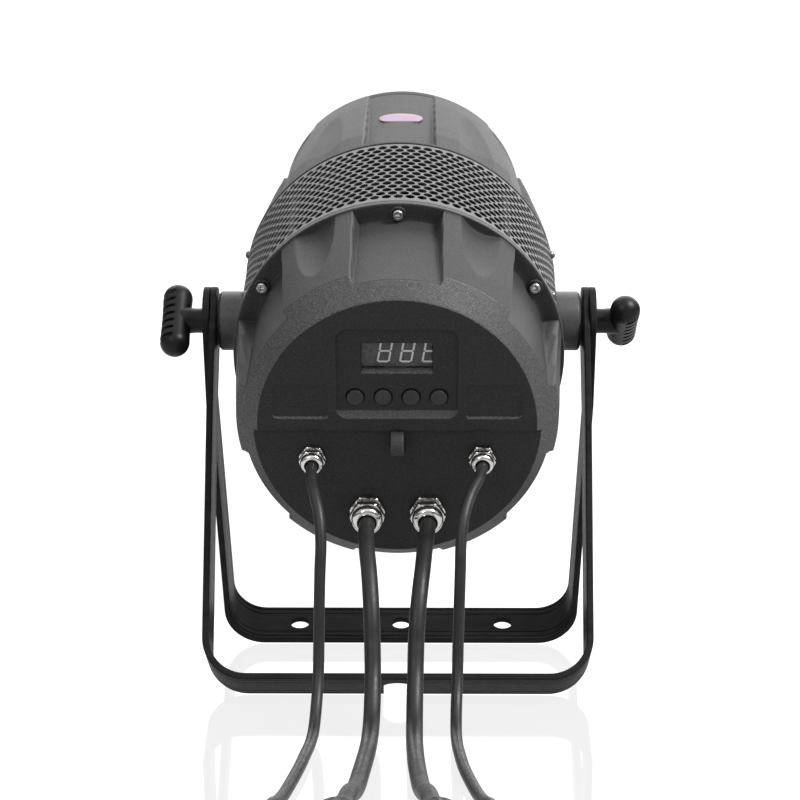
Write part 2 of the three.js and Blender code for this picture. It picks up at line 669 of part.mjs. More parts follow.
const CONNECTORS = {
  signal: [[0, 0], [4.6, 0], [7.4, 22], [9, 24], [9, 46], [8, 47], [8, 66], [0, 66]],
  power: [[0, 0], [6.4, 0], [9.8, 30], [13.2, 32], [13.2, 62], [11.8, 63], [11.8, 86], [0, 86]],
};

function glandMouth(spec, sign) {
  const face = FACE_Y + STEP_DEPTH;
  const local = new THREE.Vector3(sign * spec.x, face - spec.length - GAP, spec.z);
  can.updateMatrixWorld(true);
  return local.applyMatrix4(can.matrixWorld);
}

function circle(radius, sides) {
  const shape = new THREE.Shape();
  for (let i = 0; i < sides; i += 1) {
    const angle = 2 * Math.PI * i / sides;
    const [x, y] = [radius * Math.cos(angle), radius * Math.sin(angle)];
    if (i === 0) shape.moveTo(x, y);
    else shape.lineTo(x, y);
  }
  shape.closePath();
  return shape;
}

function addCords() {
  for (const [name, cord] of Object.entries(CORDS)) {
    const start = glandMouth(cord.spec, cord.sign);
    const end = new THREE.Vector3(...cord.tail);
    const points = [start, ...cord.route.map((p) => new THREE.Vector3(...p)), end];
    const path = new THREE.CatmullRomCurve3(points, false, 'centripetal');
    const steps = Math.min(34, Math.round(path.getLength() / (2 * cord.spec.cord)));
    const options = { steps, bevelEnabled: false, extrudePath: path };
    const geometry = new THREE.ExtrudeGeometry(circle(cord.spec.cord / 2, 10), options);
    add(group, `${name}_cord`, toSolid(geometry), RUBBER());

    const kind = name.split('_')[0];
    const profile = CONNECTORS[kind].map(([r, y]) => new THREE.Vector2(r, y));
    const connector = toSolid(new THREE.LatheGeometry(profile, 24));
    const mesh = add(group, `${name}_connector`, connector, PLASTIC());
    const last = points[points.length - 2];
    const heading = new THREE.Vector3(end.x - last.x, end.y - last.y, 0).normalize();
    mesh.quaternion.setFromUnitVectors(new THREE.Vector3(0, 1, 0), heading);
    mesh.position.copy(end).addScaledVector(heading, GAP);
  }
}

addBrackets();
addPivots();
add(can, 'rear_housing', rearHousing(), POWDER());
addHousingScrews();
addControls();
addGlands();
addSafetyEye();
addMiddle();
addFront();
addElectronics();
addCords();

export default group;
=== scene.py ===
"""A par can light on a double floor bracket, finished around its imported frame.

Most shapes are made in the can's own frame, in millimetres: x across, y along the lamp's axis
towards the lens and z up from that axis, with the pivots at the origin.
"""

import json
import math

import bpy
import numpy as np
from mathutils import Matrix, Vector


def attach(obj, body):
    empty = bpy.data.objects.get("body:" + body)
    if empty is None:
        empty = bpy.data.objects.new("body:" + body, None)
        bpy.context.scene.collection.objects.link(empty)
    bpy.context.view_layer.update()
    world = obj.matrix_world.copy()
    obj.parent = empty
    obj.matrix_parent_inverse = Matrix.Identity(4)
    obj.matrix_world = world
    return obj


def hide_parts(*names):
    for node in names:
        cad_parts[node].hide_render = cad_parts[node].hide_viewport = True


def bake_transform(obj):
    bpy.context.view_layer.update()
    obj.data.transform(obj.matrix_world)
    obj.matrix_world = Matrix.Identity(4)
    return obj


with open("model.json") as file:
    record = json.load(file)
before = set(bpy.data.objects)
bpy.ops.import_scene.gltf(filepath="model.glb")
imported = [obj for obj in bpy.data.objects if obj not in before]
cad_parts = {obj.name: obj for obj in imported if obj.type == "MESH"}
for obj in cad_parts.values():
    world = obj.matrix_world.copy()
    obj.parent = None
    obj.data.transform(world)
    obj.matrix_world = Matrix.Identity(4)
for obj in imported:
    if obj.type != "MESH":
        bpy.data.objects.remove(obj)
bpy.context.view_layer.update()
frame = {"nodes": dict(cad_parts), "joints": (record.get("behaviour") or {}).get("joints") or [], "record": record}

MM = 0.001
TAU = 2 * math.pi
SIXTH = TAU / 6

# ---- the frame's own axes
JOINTS = {joint["name"]: joint for joint in frame["joints"]}
PIVOT = np.array(JOINTS["can_tilt"]["pos_m"])
FORWARD = np.array(JOINTS["fan_spin"]["axis"])
ACROSS = np.array([1.0, 0.0, 0.0])
UPWARD = np.cross(ACROSS, FORWARD)
CAN_AXES = np.array([ACROSS, FORWARD, UPWARD])
MOUNTS = {mount["name"]: mount for mount in frame["record"]["mounts"]}
SPLAY = math.asin(MOUNTS["clamp_face"]["axis"][1])


def can_place(points):
    """Can frame in millimetres to the row frame in metres."""
    return PIVOT + np.asarray(points) * MM @ CAN_AXES


def leg_axes(angle):
    """A bracket's frame: pivot at the origin, legs down -z, strip width along y."""
    c, s = math.cos(angle), math.sin(angle)
    return np.array([[1, 0, 0], [0, c, s], [0, -s, c]])


def leg_place(angle):
    return lambda points: PIVOT + np.asarray(points) * MM @ leg_axes(angle)


def node_points(node):
    mesh = frame["nodes"][node].data
    points = np.empty(len(mesh.vertices) * 3)
    mesh.vertices.foreach_get("co", points)
    return points.reshape(-1, 3)


def can_box(*nodes):
    """Lowest and highest corner of CAD nodes in the can frame, in millimetres."""
    points = np.vstack([node_points(node) for node in nodes])
    local = (points - PIVOT) @ CAN_AXES.T / MM
    return local.min(0), local.max(0)


# ---- camera
CAMERA_FROM_PIVOT = Vector((0.0162, -1.4988, 0.0763))
CAMERA_VIEW = Vector((-0.0106, 0.9964, -0.0845))
CAMERA_LENS = 108.06
CAMERA_SHIFT_UP = 0.0022


def add_camera():
    data = bpy.data.cameras.new("camera")
    data.lens = CAMERA_LENS
    data.sensor_width = 36
    data.shift_y = CAMERA_SHIFT_UP
    data.clip_end = 50
    camera = bpy.data.objects.new("camera", data)
    bpy.context.scene.collection.objects.link(camera)
    camera.location = Vector(PIVOT) + CAMERA_FROM_PIVOT
    camera.rotation_euler = CAMERA_VIEW.to_track_quat("-Z", "Y").to_euler()
    bpy.context.scene.camera = camera


# ---- finishes
def feed(tree, socket, value):
    """Gives a socket its value, which may be another node's output."""
    if isinstance(value, bpy.types.NodeSocket):
        tree.links.new(value, socket)
    else:
        socket.default_value = value


def add_node(tree, kind, **inputs):
    """A new shader node. Underscores in an input's name stand for spaces."""
    node = tree.nodes.new("ShaderNode" + kind)
    for name, value in inputs.items():
        feed(tree, node.inputs[name.replace("_", " ")], value)
    return node


def noise(scale, detail=3.0, roughness=0.55, stretch=None):
    return "TexNoise", "Fac", stretch, (scale, detail, roughness)


def spread(scale, detail, low, high, start=0.3, stretch=None):
    """A noise with the two stops of a colour or a roughness."""
    return noise(scale, detail, stretch=stretch), (start, low), (0.7, high)


def cells(scale):
    return "TexVoronoi", "Distance", None, (scale,)


def grey(value, warmth=0.0):
    return (value * (1 + warmth), value, value * (1 - warmth))


EDGES = ("NewGeometry", "Pointiness", None, ())     # 0.5 on flat faces, more on outside edges


class Finish:
    """A material, and the record's slot that it belongs to.

    colour and rough are a texture and its (position, value or colour) stops, and rough may be one number.
    bumps are (texture, strength, distance in metres), finest last.
    """

    def __init__(self, name, slot, colour=None, rough=None, bumps=(), **settings):
        self.slot = slot
        self.material = bpy.data.materials.new(name)
        self.material.use_nodes = True
        self.tree = self.material.node_tree
        self.surface = self.tree.nodes["Principled BSDF"].inputs
        self.place = add_node(self.tree, "TexCoord").outputs["Object"]
        self.textures = {}
        for socket, value in settings.items():
            self.surface[socket.replace("_", " ")].default_value = value
        if colour:
            self.set("Base Color", self.ramp(*colour))
        self.set("Roughness", self.ramp(*rough) if isinstance(rough, tuple) else rough)
        if bumps:
            self.set("Normal", self.bumpy(bumps))

    def set(self, socket, value):
        feed(self.tree, self.surface[socket], value)

    def texture(self, spec):
        if spec not in self.textures:
            kind, output, stretch, amounts = spec
            node = add_node(self.tree, kind, **dict(zip(("Scale", "Detail", "Roughness"), amounts)))
            if amounts:
                place = self.place
                if stretch:
                    place = add_node(self.tree, "Mapping", Scale=stretch, Vector=place).outputs["Vector"]
                self.tree.links.new(place, node.inputs["Vector"])
            self.textures[spec] = node.outputs[output]
        return self.textures[spec]

    def ramp(self, spec, *stops):
        node = add_node(self.tree, "ValToRGB", Fac=self.texture(spec))
        elements = node.color_ramp.elements
        while len(elements) < len(stops):
            elements.new(0.5)
        for element, (position, value) in zip(elements, stops):
            element.position = position
            element.color = (*(value if isinstance(value, tuple) else grey(value)), 1)
        return node.outputs["Color"]

    def bumpy(self, bumps):
        under = {}
        for spec, strength, distance in bumps:
            node = add_node(self.tree, "Bump", Strength=strength, Distance=distance,
                            Height=self.texture(spec), **under)
            under = {"Normal": node.outputs["Normal"]}
        return node.outputs["Normal"]

    def mix(self, factor, first, second, blend="MIX"):
        node = add_node(self.tree, "Mix")
        node.data_type, node.blend_type = "RGBA", blend
        for number, value in ((0, factor), (6, first), (7, second)):
            feed(self.tree, node.inputs[number], value)
        return node.outputs[2]


def powder_coat():
    grain = noise(1900, 2)
    coat = Finish("powder_coat", "powder_coat", None, (grain, (0.35, 0.62), (0.7, 0.48)),
                  [(noise(600, 2), 0.25, 0.0002), (grain, 0.5, 0.00012)], IOR=1.33, Specular_IOR_Level=0.4)
    speckle = coat.ramp(grain, (0.42, 0.025), (0.6, 0.039), (0.74, 0.07))
    shade = coat.ramp(noise(40, 3), (0.3, 0.92), (0.7, 1.0))
    # Outside edges (EDGES) are mixed towards a lighter grey: a painted highlight along every edge, standing in for
    # the lamps' glints there.
    edge_highlight = coat.ramp(EDGES, (0.52, 0.0), (0.58, 0.6))
    coat.set("Base Color", coat.mix(edge_highlight, coat.mix(1.0, speckle, shade, "MULTIPLY"), (*grey(0.11), 1)))
    return coat


def grained(name, grain, colours, roughs, strength, distance, slot="powder_coat", **settings):
    """A coat whose colour, roughness and bumps all follow one grain."""
    return Finish(name, slot, (grain, *colours), (grain, *roughs), [(grain, strength, distance)], **settings)


def metal(name, slot, colour, rough, bumps=(), share=1.0):
    return Finish(name, slot, colour, rough, bumps, Metallic=share)


POWDER_COAT = powder_coat()
COARSE_COAT = grained("coarse_coat", noise(2000, 2, 0.7), [(0.38, 0.026), (0.55, 0.056), (0.7, 0.15)],
                      [(0.35, 0.6), (0.7, 0.4)], 0.8, 0.0002, IOR=1.42)
# A darker copy of the coat for the rear face: its darkness is painted shade where little light reaches the face.
SHADED_FACE_COAT = grained("shaded_face_coat", noise(1300, 2), [(0.4, 0.016), (0.65, 0.025)],
                    [(0.35, 0.66), (0.7, 0.54)], 0.35, 0.0001, IOR=1.4, Specular_IOR_Level=0.3)
BOSS_COAT = grained("boss_coat", noise(1500, 2), [(0.4, 0.035), (0.65, 0.06)],
                    [(0.35, 0.5), (0.7, 0.4)], 0.4, 0.0001, IOR=1.45)
BAND_COAT = grained("band_coat", noise(1500, 2), [(0.35, 0.075), (0.7, 0.12)],
                    [(0.35, 0.5), (0.7, 0.4)], 0.3, 0.0001, IOR=1.35)
SATIN_BLACK = Finish("satin_black", "satin_black", spread(160, 4, 0.014, 0.022, stretch=(0.25, 1, 1)),
                     spread(300, 3, 0.32, 0.42), [(noise(900, 3), 0.18, 0.0001)], IOR=1.2,
                     Specular_IOR_Level=0.04)
NICKEL = metal("nickel", "nickel", (noise(220, 4), (0.3, grey(0.62, 0.02)), (0.75, grey(0.8, 0.015))),
               spread(500, 3, 0.14, 0.26, start=0.35), [(noise(260, 2), 0.1, 0.0002)])
ZINC_STEEL = metal("zinc_steel", "steel", spread(400, 3, 0.5, 0.72), spread(700, 2, 0.2, 0.36, start=0.35),
                   [(noise(700, 2), 0.12, 0.0001)])
DARK_STEEL = metal("dark_steel", "steel", spread(400, 3, 0.1, 0.2), spread(700, 2, 0.3, 0.45, start=0.35))
ANODISED = metal("anodised", "bare_aluminium", spread(200, 3, 0.018, 0.03), spread(500, 2, 0.45, 0.6),
                 share=0.6)
BARE_ALUMINIUM = metal("bare_aluminium", "bare_aluminium", spread(160, 4, 0.42, 0.58, stretch=(1, 6, 1)),
                       spread(400, 3, 0.35, 0.5))
BRIGHT_REFLECTOR = metal("bright_reflector", "reflector", spread(60, 3, 0.78, 0.88),
                         spread(300, 2, 0.08, 0.16), [(cells(260), 0.35, 0.0006)])
BLACK_RUBBER = Finish("black_rubber", "black_rubber", spread(120, 4, 0.005, 0.009), spread(350, 3, 0.34, 0.44),
                      [(noise(1100, 2), 0.25, 0.0001)], IOR=1.4, Specular_IOR_Level=0.3)
BUTTON_RUBBER = Finish("button_rubber", "black_rubber", spread(120, 4, 0.016, 0.026), spread(350, 3, 0.4, 0.5),
                       [(noise(1100, 2), 0.2, 0.0001)], IOR=1.4)
CORD_RUBBER = Finish("cord_rubber", "black_rubber", spread(90, 4, 0.011, 0.019), spread(260, 3, 0.4, 0.54),
                     [(noise(500, 3), 0.2, 0.0001)], IOR=1.4)
BLACK_PLASTIC = Finish("black_plastic", "black_plastic", spread(140, 3, 0.016, 0.024),
                       spread(600, 3, 0.42, 0.56), [(cells(1500), 0.2, 0.0001)], IOR=1.48)
DISPLAY_BODY = Finish("display_body", "black_plastic", spread(300, 3, 0.09, 0.13), 0.45, IOR=1.5,
                      Specular_IOR_Level=0.3)
LIT_SEGMENT = Finish("lit_segment", "black_plastic", spread(500, 2, 0.7, 0.8), 0.4,
                     Emission_Color=(1, 1, 1, 1), Emission_Strength=0.05)
DIM_SEGMENT = Finish("dim_segment", "black_plastic", spread(500, 2, 0.1, 0.14), 0.4)
CIRCUIT_BOARD = Finish("circuit_board", "circuit_board",
                       (cells(300), (0.2, (0.012, 0.07, 0.03)), (0.6, (0.02, 0.12, 0.05))), 0.45)
TINTED_WINDOW = Finish("tinted_window", "tinted_window", spread(60, 2, 0.8, 0.84), 0.0, IOR=1.1,
                       Transmission_Weight=1.0)
CLEAR_GLASS = Finish("clear_glass", "clear_glass", spread(8, 2, (0.93, 0.96, 0.95), (0.96, 0.98, 0.97)), 0.02,
                     IOR=1.5, Transmission_Weight=1.0)
PHOSPHOR = Finish("phosphor", "led_module", (cells(700), (0.1, (0.75, 0.55, 0.08)), (0.6, (0.62, 0.44, 0.06))),
                  0.5)
LABEL_FILM = Finish("label_film", "tinted_window",
                    (noise(90, 2), (0.35, (0.4, 0.25, 0.27)), (0.65, (0.3, 0.25, 0.34))), 0.7,
                    Specular_IOR_Level=0.1)


# ---- mesh building
def mesh_object(name, points, faces, finish, body, sharp=None, replaces=()):
    """faces is a list of arrays of vertex numbers, one array for each number of corners."""
    points = np.asarray(points, dtype=np.float64)
    loops = np.concatenate([face.ravel() for face in faces])
    sizes = np.concatenate([np.full(len(face), face.shape[1]) for face in faces])
    starts = np.concatenate([[0], np.cumsum(sizes)[:-1]])
    mesh = bpy.data.meshes.new(name)
    mesh.vertices.add(len(points))
    mesh.vertices.foreach_set("co", points.ravel())
    mesh.loops.add(len(loops))
    mesh.loops.foreach_set("vertex_index", loops.astype(np.int32))
    mesh.polygons.add(len(sizes))
    mesh.polygons.foreach_set("loop_start", starts.astype(np.int32))
    mesh.update(calc_edges=True)
    mesh.validate()
    mesh.shade_smooth()
    if sharp is not None:
        mesh.set_sharp_from_angle(angle=math.radians(sharp))
    mesh.materials.append(finish.material)
    item = bpy.data.objects.new(name, mesh)
    bpy.context.scene.collection.objects.link(item)
    if replaces:
        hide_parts(*replaces)
    if body:
        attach(item, body)
    return item


def outward(points, faces):
    """The faces turned so that the surface's volume is positive."""
    volume = 0.0
    for face in faces:
        corner = points[face]
        for i in range(1, face.shape[1] - 1):
            cross = np.cross(corner[:, i], corner[:, i + 1])
            volume += np.einsum("ij,ij->", corner[:, 0], cross)
    return faces if volume > 0 else [face[:, ::-1] for face in faces]


def quads_between(lower, upper):
    """Quads between rings of vertex numbers, whose last axis runs round the ring."""
    return np.stack([lower, np.roll(lower, -1, -1), np.roll(upper, -1, -1), upper], -1).reshape(-1, 4)


def skin_parts(rows, closed=False, poles=(None, None)):
    """Vertices and faces of rows of points that run round a piece, shape (rows, columns, 3)."""
    rows = np.asarray(rows, dtype=np.float64)
    count, columns, _ = rows.shape
    index = np.arange(count * columns).reshape(count, columns)
    lower, upper = (index, np.roll(index, -1, 0)) if closed else (index[:-1], index[1:])
    faces = [quads_between(lower, upper)]
    points = rows.reshape(-1, 3)
    for pole, ring, flip in ((poles[0], index[0], True), (poles[1], index[-1], False)):
        if pole is None:
            continue
        tip = np.full(columns, len(points))
        points = np.vstack([points, [pole]])
        fan = np.stack([ring, np.roll(ring, -1), tip], -1)
        faces.append(fan[:, ::-1] if flip else fan)
    return points, faces


def merge_parts(parts):
    points = []
    faces = []
    offset = 0
    for part_points, part_faces in parts:
        points.append(part_points)
        faces.extend(face + offset for face in outward(part_points, part_faces))
        offset += len(part_points)
    return np.vstack(points), faces


def piece(name, parts, place, finish, body, sharp=None, replaces=()):
    points, faces = merge_parts(parts)
    placed = place(points)
    return mesh_object(name, placed, outward(placed, faces) if len(parts) == 1 else faces,
                       finish, body, sharp, replaces)


def angles(columns):
    return np.arange(columns) * TAU / columns


def sixths(phi, offset=0.0):
    """Angle from the nearest of six directions."""
    return (phi - offset + SIXTH / 2) % SIXTH - SIXTH / 2


def ring_rows(profile, columns):
    """Rows of a surface about y from (radius, y) points. A radius may be an array, one for each column."""
    phi = angles(columns)
    return [np.stack([r * np.sin(phi), np.full(columns, float(y)), r * np.cos(phi)], -1) for r, y in profile]


def hexagon(flats, columns, turn=0.0):
    """The radius of a hexagon that far across flats, at each column."""
    return flats / 2 / np.cos(sixths(angles(columns) + turn))


def lathe(profile, columns=96):
    """A turned part. A profile that starts on the axis is closed by poles, or else by itself."""
    if profile[0][0] == 0:
        poles = [(0, profile[0][1], 0), (0, profile[-1][1], 0)]
        return skin_parts(ring_rows(profile[1:-1], columns), poles=poles)
    return skin_parts(ring_rows(profile, columns), closed=True)


def rounded(corners, radius, steps=4, closed=True):
    """A polygon's (a, b) corners, each replaced by a small arc. radius may be one per corner."""
    corners = [np.array(corner, dtype=float) for corner in corners]
    radii = radius if isinstance(radius, (list, tuple)) else [radius] * len(corners)
    out = []
    for i, corner in enumerate(corners):
        ends = not closed and i in (0, len(corners) - 1)
        if ends or radii[i] == 0:
            out.append(tuple(corner))
            continue
        before = corners[i - 1] - corner
        after = corners[(i + 1) % len(corners)] - corner
        before /= np.linalg.norm(before)
        after /= np.linalg.norm(after)
        half = math.acos(max(-1, min(1, float(before @ after)))) / 2
        cut = radii[i] / math.tan(half)
        start, end = corner + before * cut, corner + after * cut
        middle = corner + (before + after) / np.linalg.norm(before + after) * radii[i] / math.sin(half)
        for step in range(steps + 1):
            way = start + (end - start) * step / steps - middle
            out.append(tuple(middle + way / np.linalg.norm(way) * radii[i]))
    return out


def slab(near, far, start, stop, radius):
    """A rectangle with rounded corners, for a plain ring or block."""
    return rounded([(near, start), (far, start), (far, stop), (near, stop)], radius)


def ramp_up(low, high, value):
    t = np.clip((value - low) / (high - low), 0, 1)
    return t * t * (3 - 2 * t)


def soft_min(a, b, blend):
    h = np.clip(0.5 + 0.5 * (b - a) / blend, 0, 1)
    return b * (1 - h) + a * h - blend * h * (1 - h)


def rounded_box(x, z, box, radius):
    """Distance to a rounded rectangle (centre x, centre z, width, height), negative inside."""
    cx, cz, width, height = box
    qx = np.abs(x - cx) - width / 2 + radius
    qz = np.abs(z - cz) - height / 2 + radius
    outside = np.hypot(np.maximum(qx, 0), np.maximum(qz, 0))
    return outside + np.minimum(np.maximum(qx, qz), 0) - radius


def can_piece(name, parts, finish, sharp=None, *replaces, place=can_place):
    return piece(name, parts, place, finish, "can", sharp, replaces)


def turned_place(matrix):
    """A place function for parts turned about y: a 4x4 matrix in millimetres, then the can frame."""
    rotation = np.array(matrix.to_3x3())
    offset = np.array(matrix.translation)
    return lambda points: can_place(np.asarray(points) @ rotation.T + offset)


# ---- castings
COLUMNS = 960
REAR_LOW, REAR_HIGH = can_box("rear_housing")
FACE = -REAR_LOW[1]                    # distances behind the pivots are positive here
FLANGE_FRONT = -REAR_HIGH[1]
FLANGE_BACK = FLANGE_FRONT + 6.7
FLANGE_RADIUS = REAR_HIGH[0]
FACE_RADIUS = 80.0
CHAMFER = (92.7, FACE - 12.1)
LOBE_RADIUS = FLANGE_RADIUS - 1.1
STEP_DEPTH = 2.5
STEP_Z = -2.6
POCKET_HALF = 25.8
POCKET_FLOOR = 89.0
SCOOP_REACH = 62.0
SCOOP_DEPTH = 4.8
SCOOP_ROUND = 20.0
EDGE = 0.6
SHELL_RADIUS = 84.0

RECESS = (0, 33.6, 69.5, 56.6)
RECESS_DEPTH = 2.0
WINDOW = (0, 42.95, 40.6, 19.1)                 # with its lip
OPENING = (0, 44.05, 40.6, 16.5)
LABEL_POCKETS = [(-55.2, 16.0, 32.0, 21.6), (55.2, 16.0, 32.0, 21.6)]
BUTTON_Z = 18.3
GLANDS = {
    "signal": {"x": 49.0, "z": -20.5, "flats": 14.0, "length": 12.0, "cord": 6.4},
    "power": {"x": 17.6, "z": -55.9, "flats": 19.0, "length": 16.0, "cord": 9.3},
}
ARCH_RADIUS = 19.0                             # the step rises over each signal gland
BUTTON_X = [-23.85, -7.95, 7.95, 23.85]
BUTTON_RADIUS = 4.85


def scooped(lobe, phi, travel, reach, depth, roundness):
    """The lobes' radius with a thumb scoop down the middle of each."""
    across = lobe * np.sin(sixths(phi, SIXTH / 2))
    deep = depth * (1 - (travel / reach) ** 2)
    return soft_min(lobe, lobe - deep + across ** 2 / (2 * roundness), EDGE / 2)


def channelled(lobe, phi, base, half, floor):
    """Cuts the six channels, whose floors are round about the axis. base is the plain lobe's radius."""
    sector = sixths(phi)
    across = np.abs(base * np.sin(sector))
    bottom = floor + 22 * ramp_up(half - 0.3, half + 2.2, across)
    return soft_min(lobe, bottom, EDGE)


def rear_radius(phi, s):
    base = np.interp(s, [FLANGE_BACK, CHAMFER[1]], [LOBE_RADIUS, CHAMFER[0] + 0.4])
    radius = scooped(base, phi, s - FLANGE_BACK, SCOOP_REACH, SCOOP_DEPTH, SCOOP_ROUND)
    radius = channelled(radius, phi, base, POCKET_HALF, POCKET_FLOOR)
    slope = (CHAMFER[0] - FACE_RADIUS) / (FACE - CHAMFER[1])
    return soft_min(radius, FACE_RADIUS + (FACE - s) * slope, EDGE)


def sunk(x, z, box, radius, depth, side, sill):
    """Depth of a rectangular sinking with steep sides and a sloping sill along its bottom."""
    inside = ramp_up(0, side, -rounded_box(x, z, box, radius))
    slope = np.clip((z - box[1] + box[3] / 2) / sill, 0, 1)
    return depth * np.minimum(inside, slope)


def face_height(x, z):
    lower = ramp_up(-0.35, 0.35, STEP_Z - z)
    for sign in (-1, 1):
        away = np.hypot(x - sign * GLANDS["signal"]["x"], z - GLANDS["signal"]["z"])
        lower = np.maximum(lower, ramp_up(-0.4, 0.4, ARCH_RADIUS - away))
    height = FACE - STEP_DEPTH * lower
    height -= sunk(x, z, RECESS, 7.0, RECESS_DEPTH, 0.9, 4.7)
    for pocket in LABEL_POCKETS:
        height -= sunk(x, z, pocket, 3.0, 0.9, 0.6, 1.3)
    height -= sunk(x, z, WINDOW, 0.6, 1.6, 0.4, 2.4)
    height -= sunk(x, z, OPENING, 0.5, 4.4, 0.4, 0.4)
    for bx in BUTTON_X:
        away = np.hypot(x - bx, z - BUTTON_Z)
        height -= 2.6 * ramp_up(-0.2, 0.25, BUTTON_RADIUS + 0.45 - away)
    return height


def casting_rows(radii, distances, direction):
    """Rows in the can frame from radius and distance arrays of shape (rows, columns)."""
    phi = angles(COLUMNS)
    return np.stack([radii * np.sin(phi), direction * distances, radii * np.cos(phi)], -1)


def flat_rows(profile):
    radii = np.array([[r] * COLUMNS for r, _ in profile])
    return radii, np.array([[s] * COLUMNS for _, s in profile])


def rear_casting():
    phi = angles(COLUMNS)
    inside = [(20, FACE - 11), (60, FACE - 11), (76, FACE - 11), (SHELL_RADIUS, FACE - 17),
              (SHELL_RADIUS, 90), (SHELL_RADIUS, FLANGE_FRONT)]
    rim = [(FLANGE_RADIUS + r, FLANGE_FRONT + s)
           for r, s in ((-1.2, 0), (-0.2, 0.8), (-0.2, 2.85), (-0.8, 3.1), (-0.8, 3.3), (0, 3.55), (0, 6.2),
                        (-0.15, 6.55), (-0.5, 6.7))]
    radii, distances = flat_rows(inside + rim)
    foot = rear_radius(phi, np.full(COLUMNS, FLANGE_BACK + 0.6))
    climb = np.linspace(0.12, 1, 10)[:, None]
    wall = (FLANGE_RADIUS - 0.5) + (foot - FLANGE_RADIUS + 0.5) * climb
    wall_s = FLANGE_BACK + 0.6 * climb ** 6 * np.ones(COLUMNS)
    s = np.concatenate([np.arange(FLANGE_BACK + 1.1, CHAMFER[1] - 4, 0.8),
                        np.arange(CHAMFER[1] - 4, FACE + 0.1, 0.4)])
    side = rear_radius(phi[None, :], s[:, None])
    side_s = s[:, None] * np.ones(COLUMNS)
    disc = np.arange(FACE_RADIUS - 0.25, 0.4, -0.45)[:, None] * np.ones(COLUMNS)
    radii = np.vstack([radii, wall, side, disc])
    distances = np.vstack([distances, wall_s, side_s, np.full_like(disc, FACE + 0.1)])
    x, z = radii * np.sin(phi), radii * np.cos(phi)
    first = len(inside) + len(rim)
    capped = soft_min(distances[first:], face_height(x[first:], z[first:]), 0.5)
    distances[first:] = np.where(distances[first:] > FACE - 13, capped, distances[first:])
    rows = casting_rows(radii, distances, -1)
    poles = [(0, -(FACE - 11), 0), (0, -face_height(np.zeros(1), np.zeros(1))[0] + 0.1, 0)]
    casting = can_piece("rear_casting", [skin_parts(rows, poles=poles)], POWDER_COAT, None, "rear_housing")
    for extra in (COARSE_COAT, SHADED_FACE_COAT):
        casting.data.materials.append(extra.material)
    outside = np.arange(len(radii))[:, None] >= first + len(wall)
    cone = FACE_RADIUS + (FACE - distances) * (CHAMFER[0] - FACE_RADIUS) / (FACE - CHAMFER[1])
    on_cone = (np.abs(radii - cone) < 0.35) & outside
    plane = FACE - STEP_DEPTH * (radii * np.cos(phi) < STEP_Z)
    # Polygons on the face take slot 2, the darker copy of the coat: painted shade on the face.
    on_face = ((radii < FACE_RADIUS + 0.2) | (distances > plane - 0.15)) & outside
    index = np.where(on_face[:-1], 2, np.where(on_cone[:-1] & on_cone[1:], 1, 0))
    numbers = np.zeros(len(casting.data.polygons), dtype=np.int32)
    numbers[:index.size] = index.ravel()
    normals = np.zeros(3 * len(numbers), dtype=np.float32)
    casting.data.polygons.foreach_get("normal", normals)
    # Face polygons that turn upwards, such as the sills, take the lighter coarse coat instead: painted light on
    # the upward faces, on top of the coarse grain they share with the chamfer.
    rise = normals.reshape(-1, 3) @ UPWARD
    numbers[(numbers == 2) & (rise > 0.2)] = 1
    casting.data.polygons.foreach_set("material_index", numbers)


FRONT_BACK = can_box("front_housing")[0][1]
FRONT_RADIUS = can_box("front_ring")[1][0] - 0.8
BEZEL_LOW, BEZEL_HIGH = can_box("front_bezel")
BEZEL_BACK, BEZEL_FRONT = BEZEL_LOW[1], BEZEL_HIGH[1]
BEZEL_RADIUS = BEZEL_HIGH[0]
CHANNEL_HALF = 22.5
CHANNEL_FLOOR = (92.6, BEZEL_RADIUS)
FRONT_SCOOP_REACH = 98.0
FRONT_SCOOP_DEPTH = 3.3
FRONT_SCOOP_ROUND = 24.0
FRONT_TAPER = ([0, 0.17, 0.34, 0.56, 0.79, 1], [0, -1, -3.4, -7, -10.8, -15])


def front_radius(phi, y):
    t = (y - FRONT_BACK) / (BEZEL_BACK - FRONT_BACK)
    base = FRONT_RADIUS + np.interp(t, *FRONT_TAPER)
    radius = scooped(base, phi, y - FRONT_BACK, FRONT_SCOOP_REACH, FRONT_SCOOP_DEPTH, FRONT_SCOOP_ROUND)
    return channelled(radius, phi, base, CHANNEL_HALF, channel_floor(y))


def channel_floor(y):
    return np.interp(y, [FRONT_BACK, BEZEL_BACK], CHANNEL_FLOOR)


def front_casting():
    phi = angles(COLUMNS)
    inside = [(26, FRONT_BACK), (26, FRONT_BACK + 5), (80, FRONT_BACK + 5), (84, FRONT_BACK + 9), (76, 128),
              (73.5, BEZEL_BACK - 0.6), (BEZEL_RADIUS - 0.6, BEZEL_BACK - 0.6)]
    radii, distances = flat_rows(inside)
    y = np.append(np.arange(BEZEL_BACK - 0.9, FRONT_BACK + 0.7, -0.9), FRONT_BACK + 0.6)
    side = front_radius(phi[None, :], y[:, None])
    tuck = np.array([[0.15, 0.25], [0.45, 0.1], [0.9, 0.0]])
    edge = side[-1] - tuck[:, :1]
    edge_y = FRONT_BACK + tuck[:, 1:] * np.ones(COLUMNS)
    back_r, back_y = flat_rows([(80, FRONT_BACK)])
    radii = np.vstack([radii, side, edge, back_r])
    distances = np.vstack([distances, y[:, None] * np.ones(COLUMNS), edge_y, back_y])
    rows = casting_rows(radii, distances, 1)
    can_piece("front_casting", [skin_parts(rows, closed=True)], POWDER_COAT, None, "front_housing")


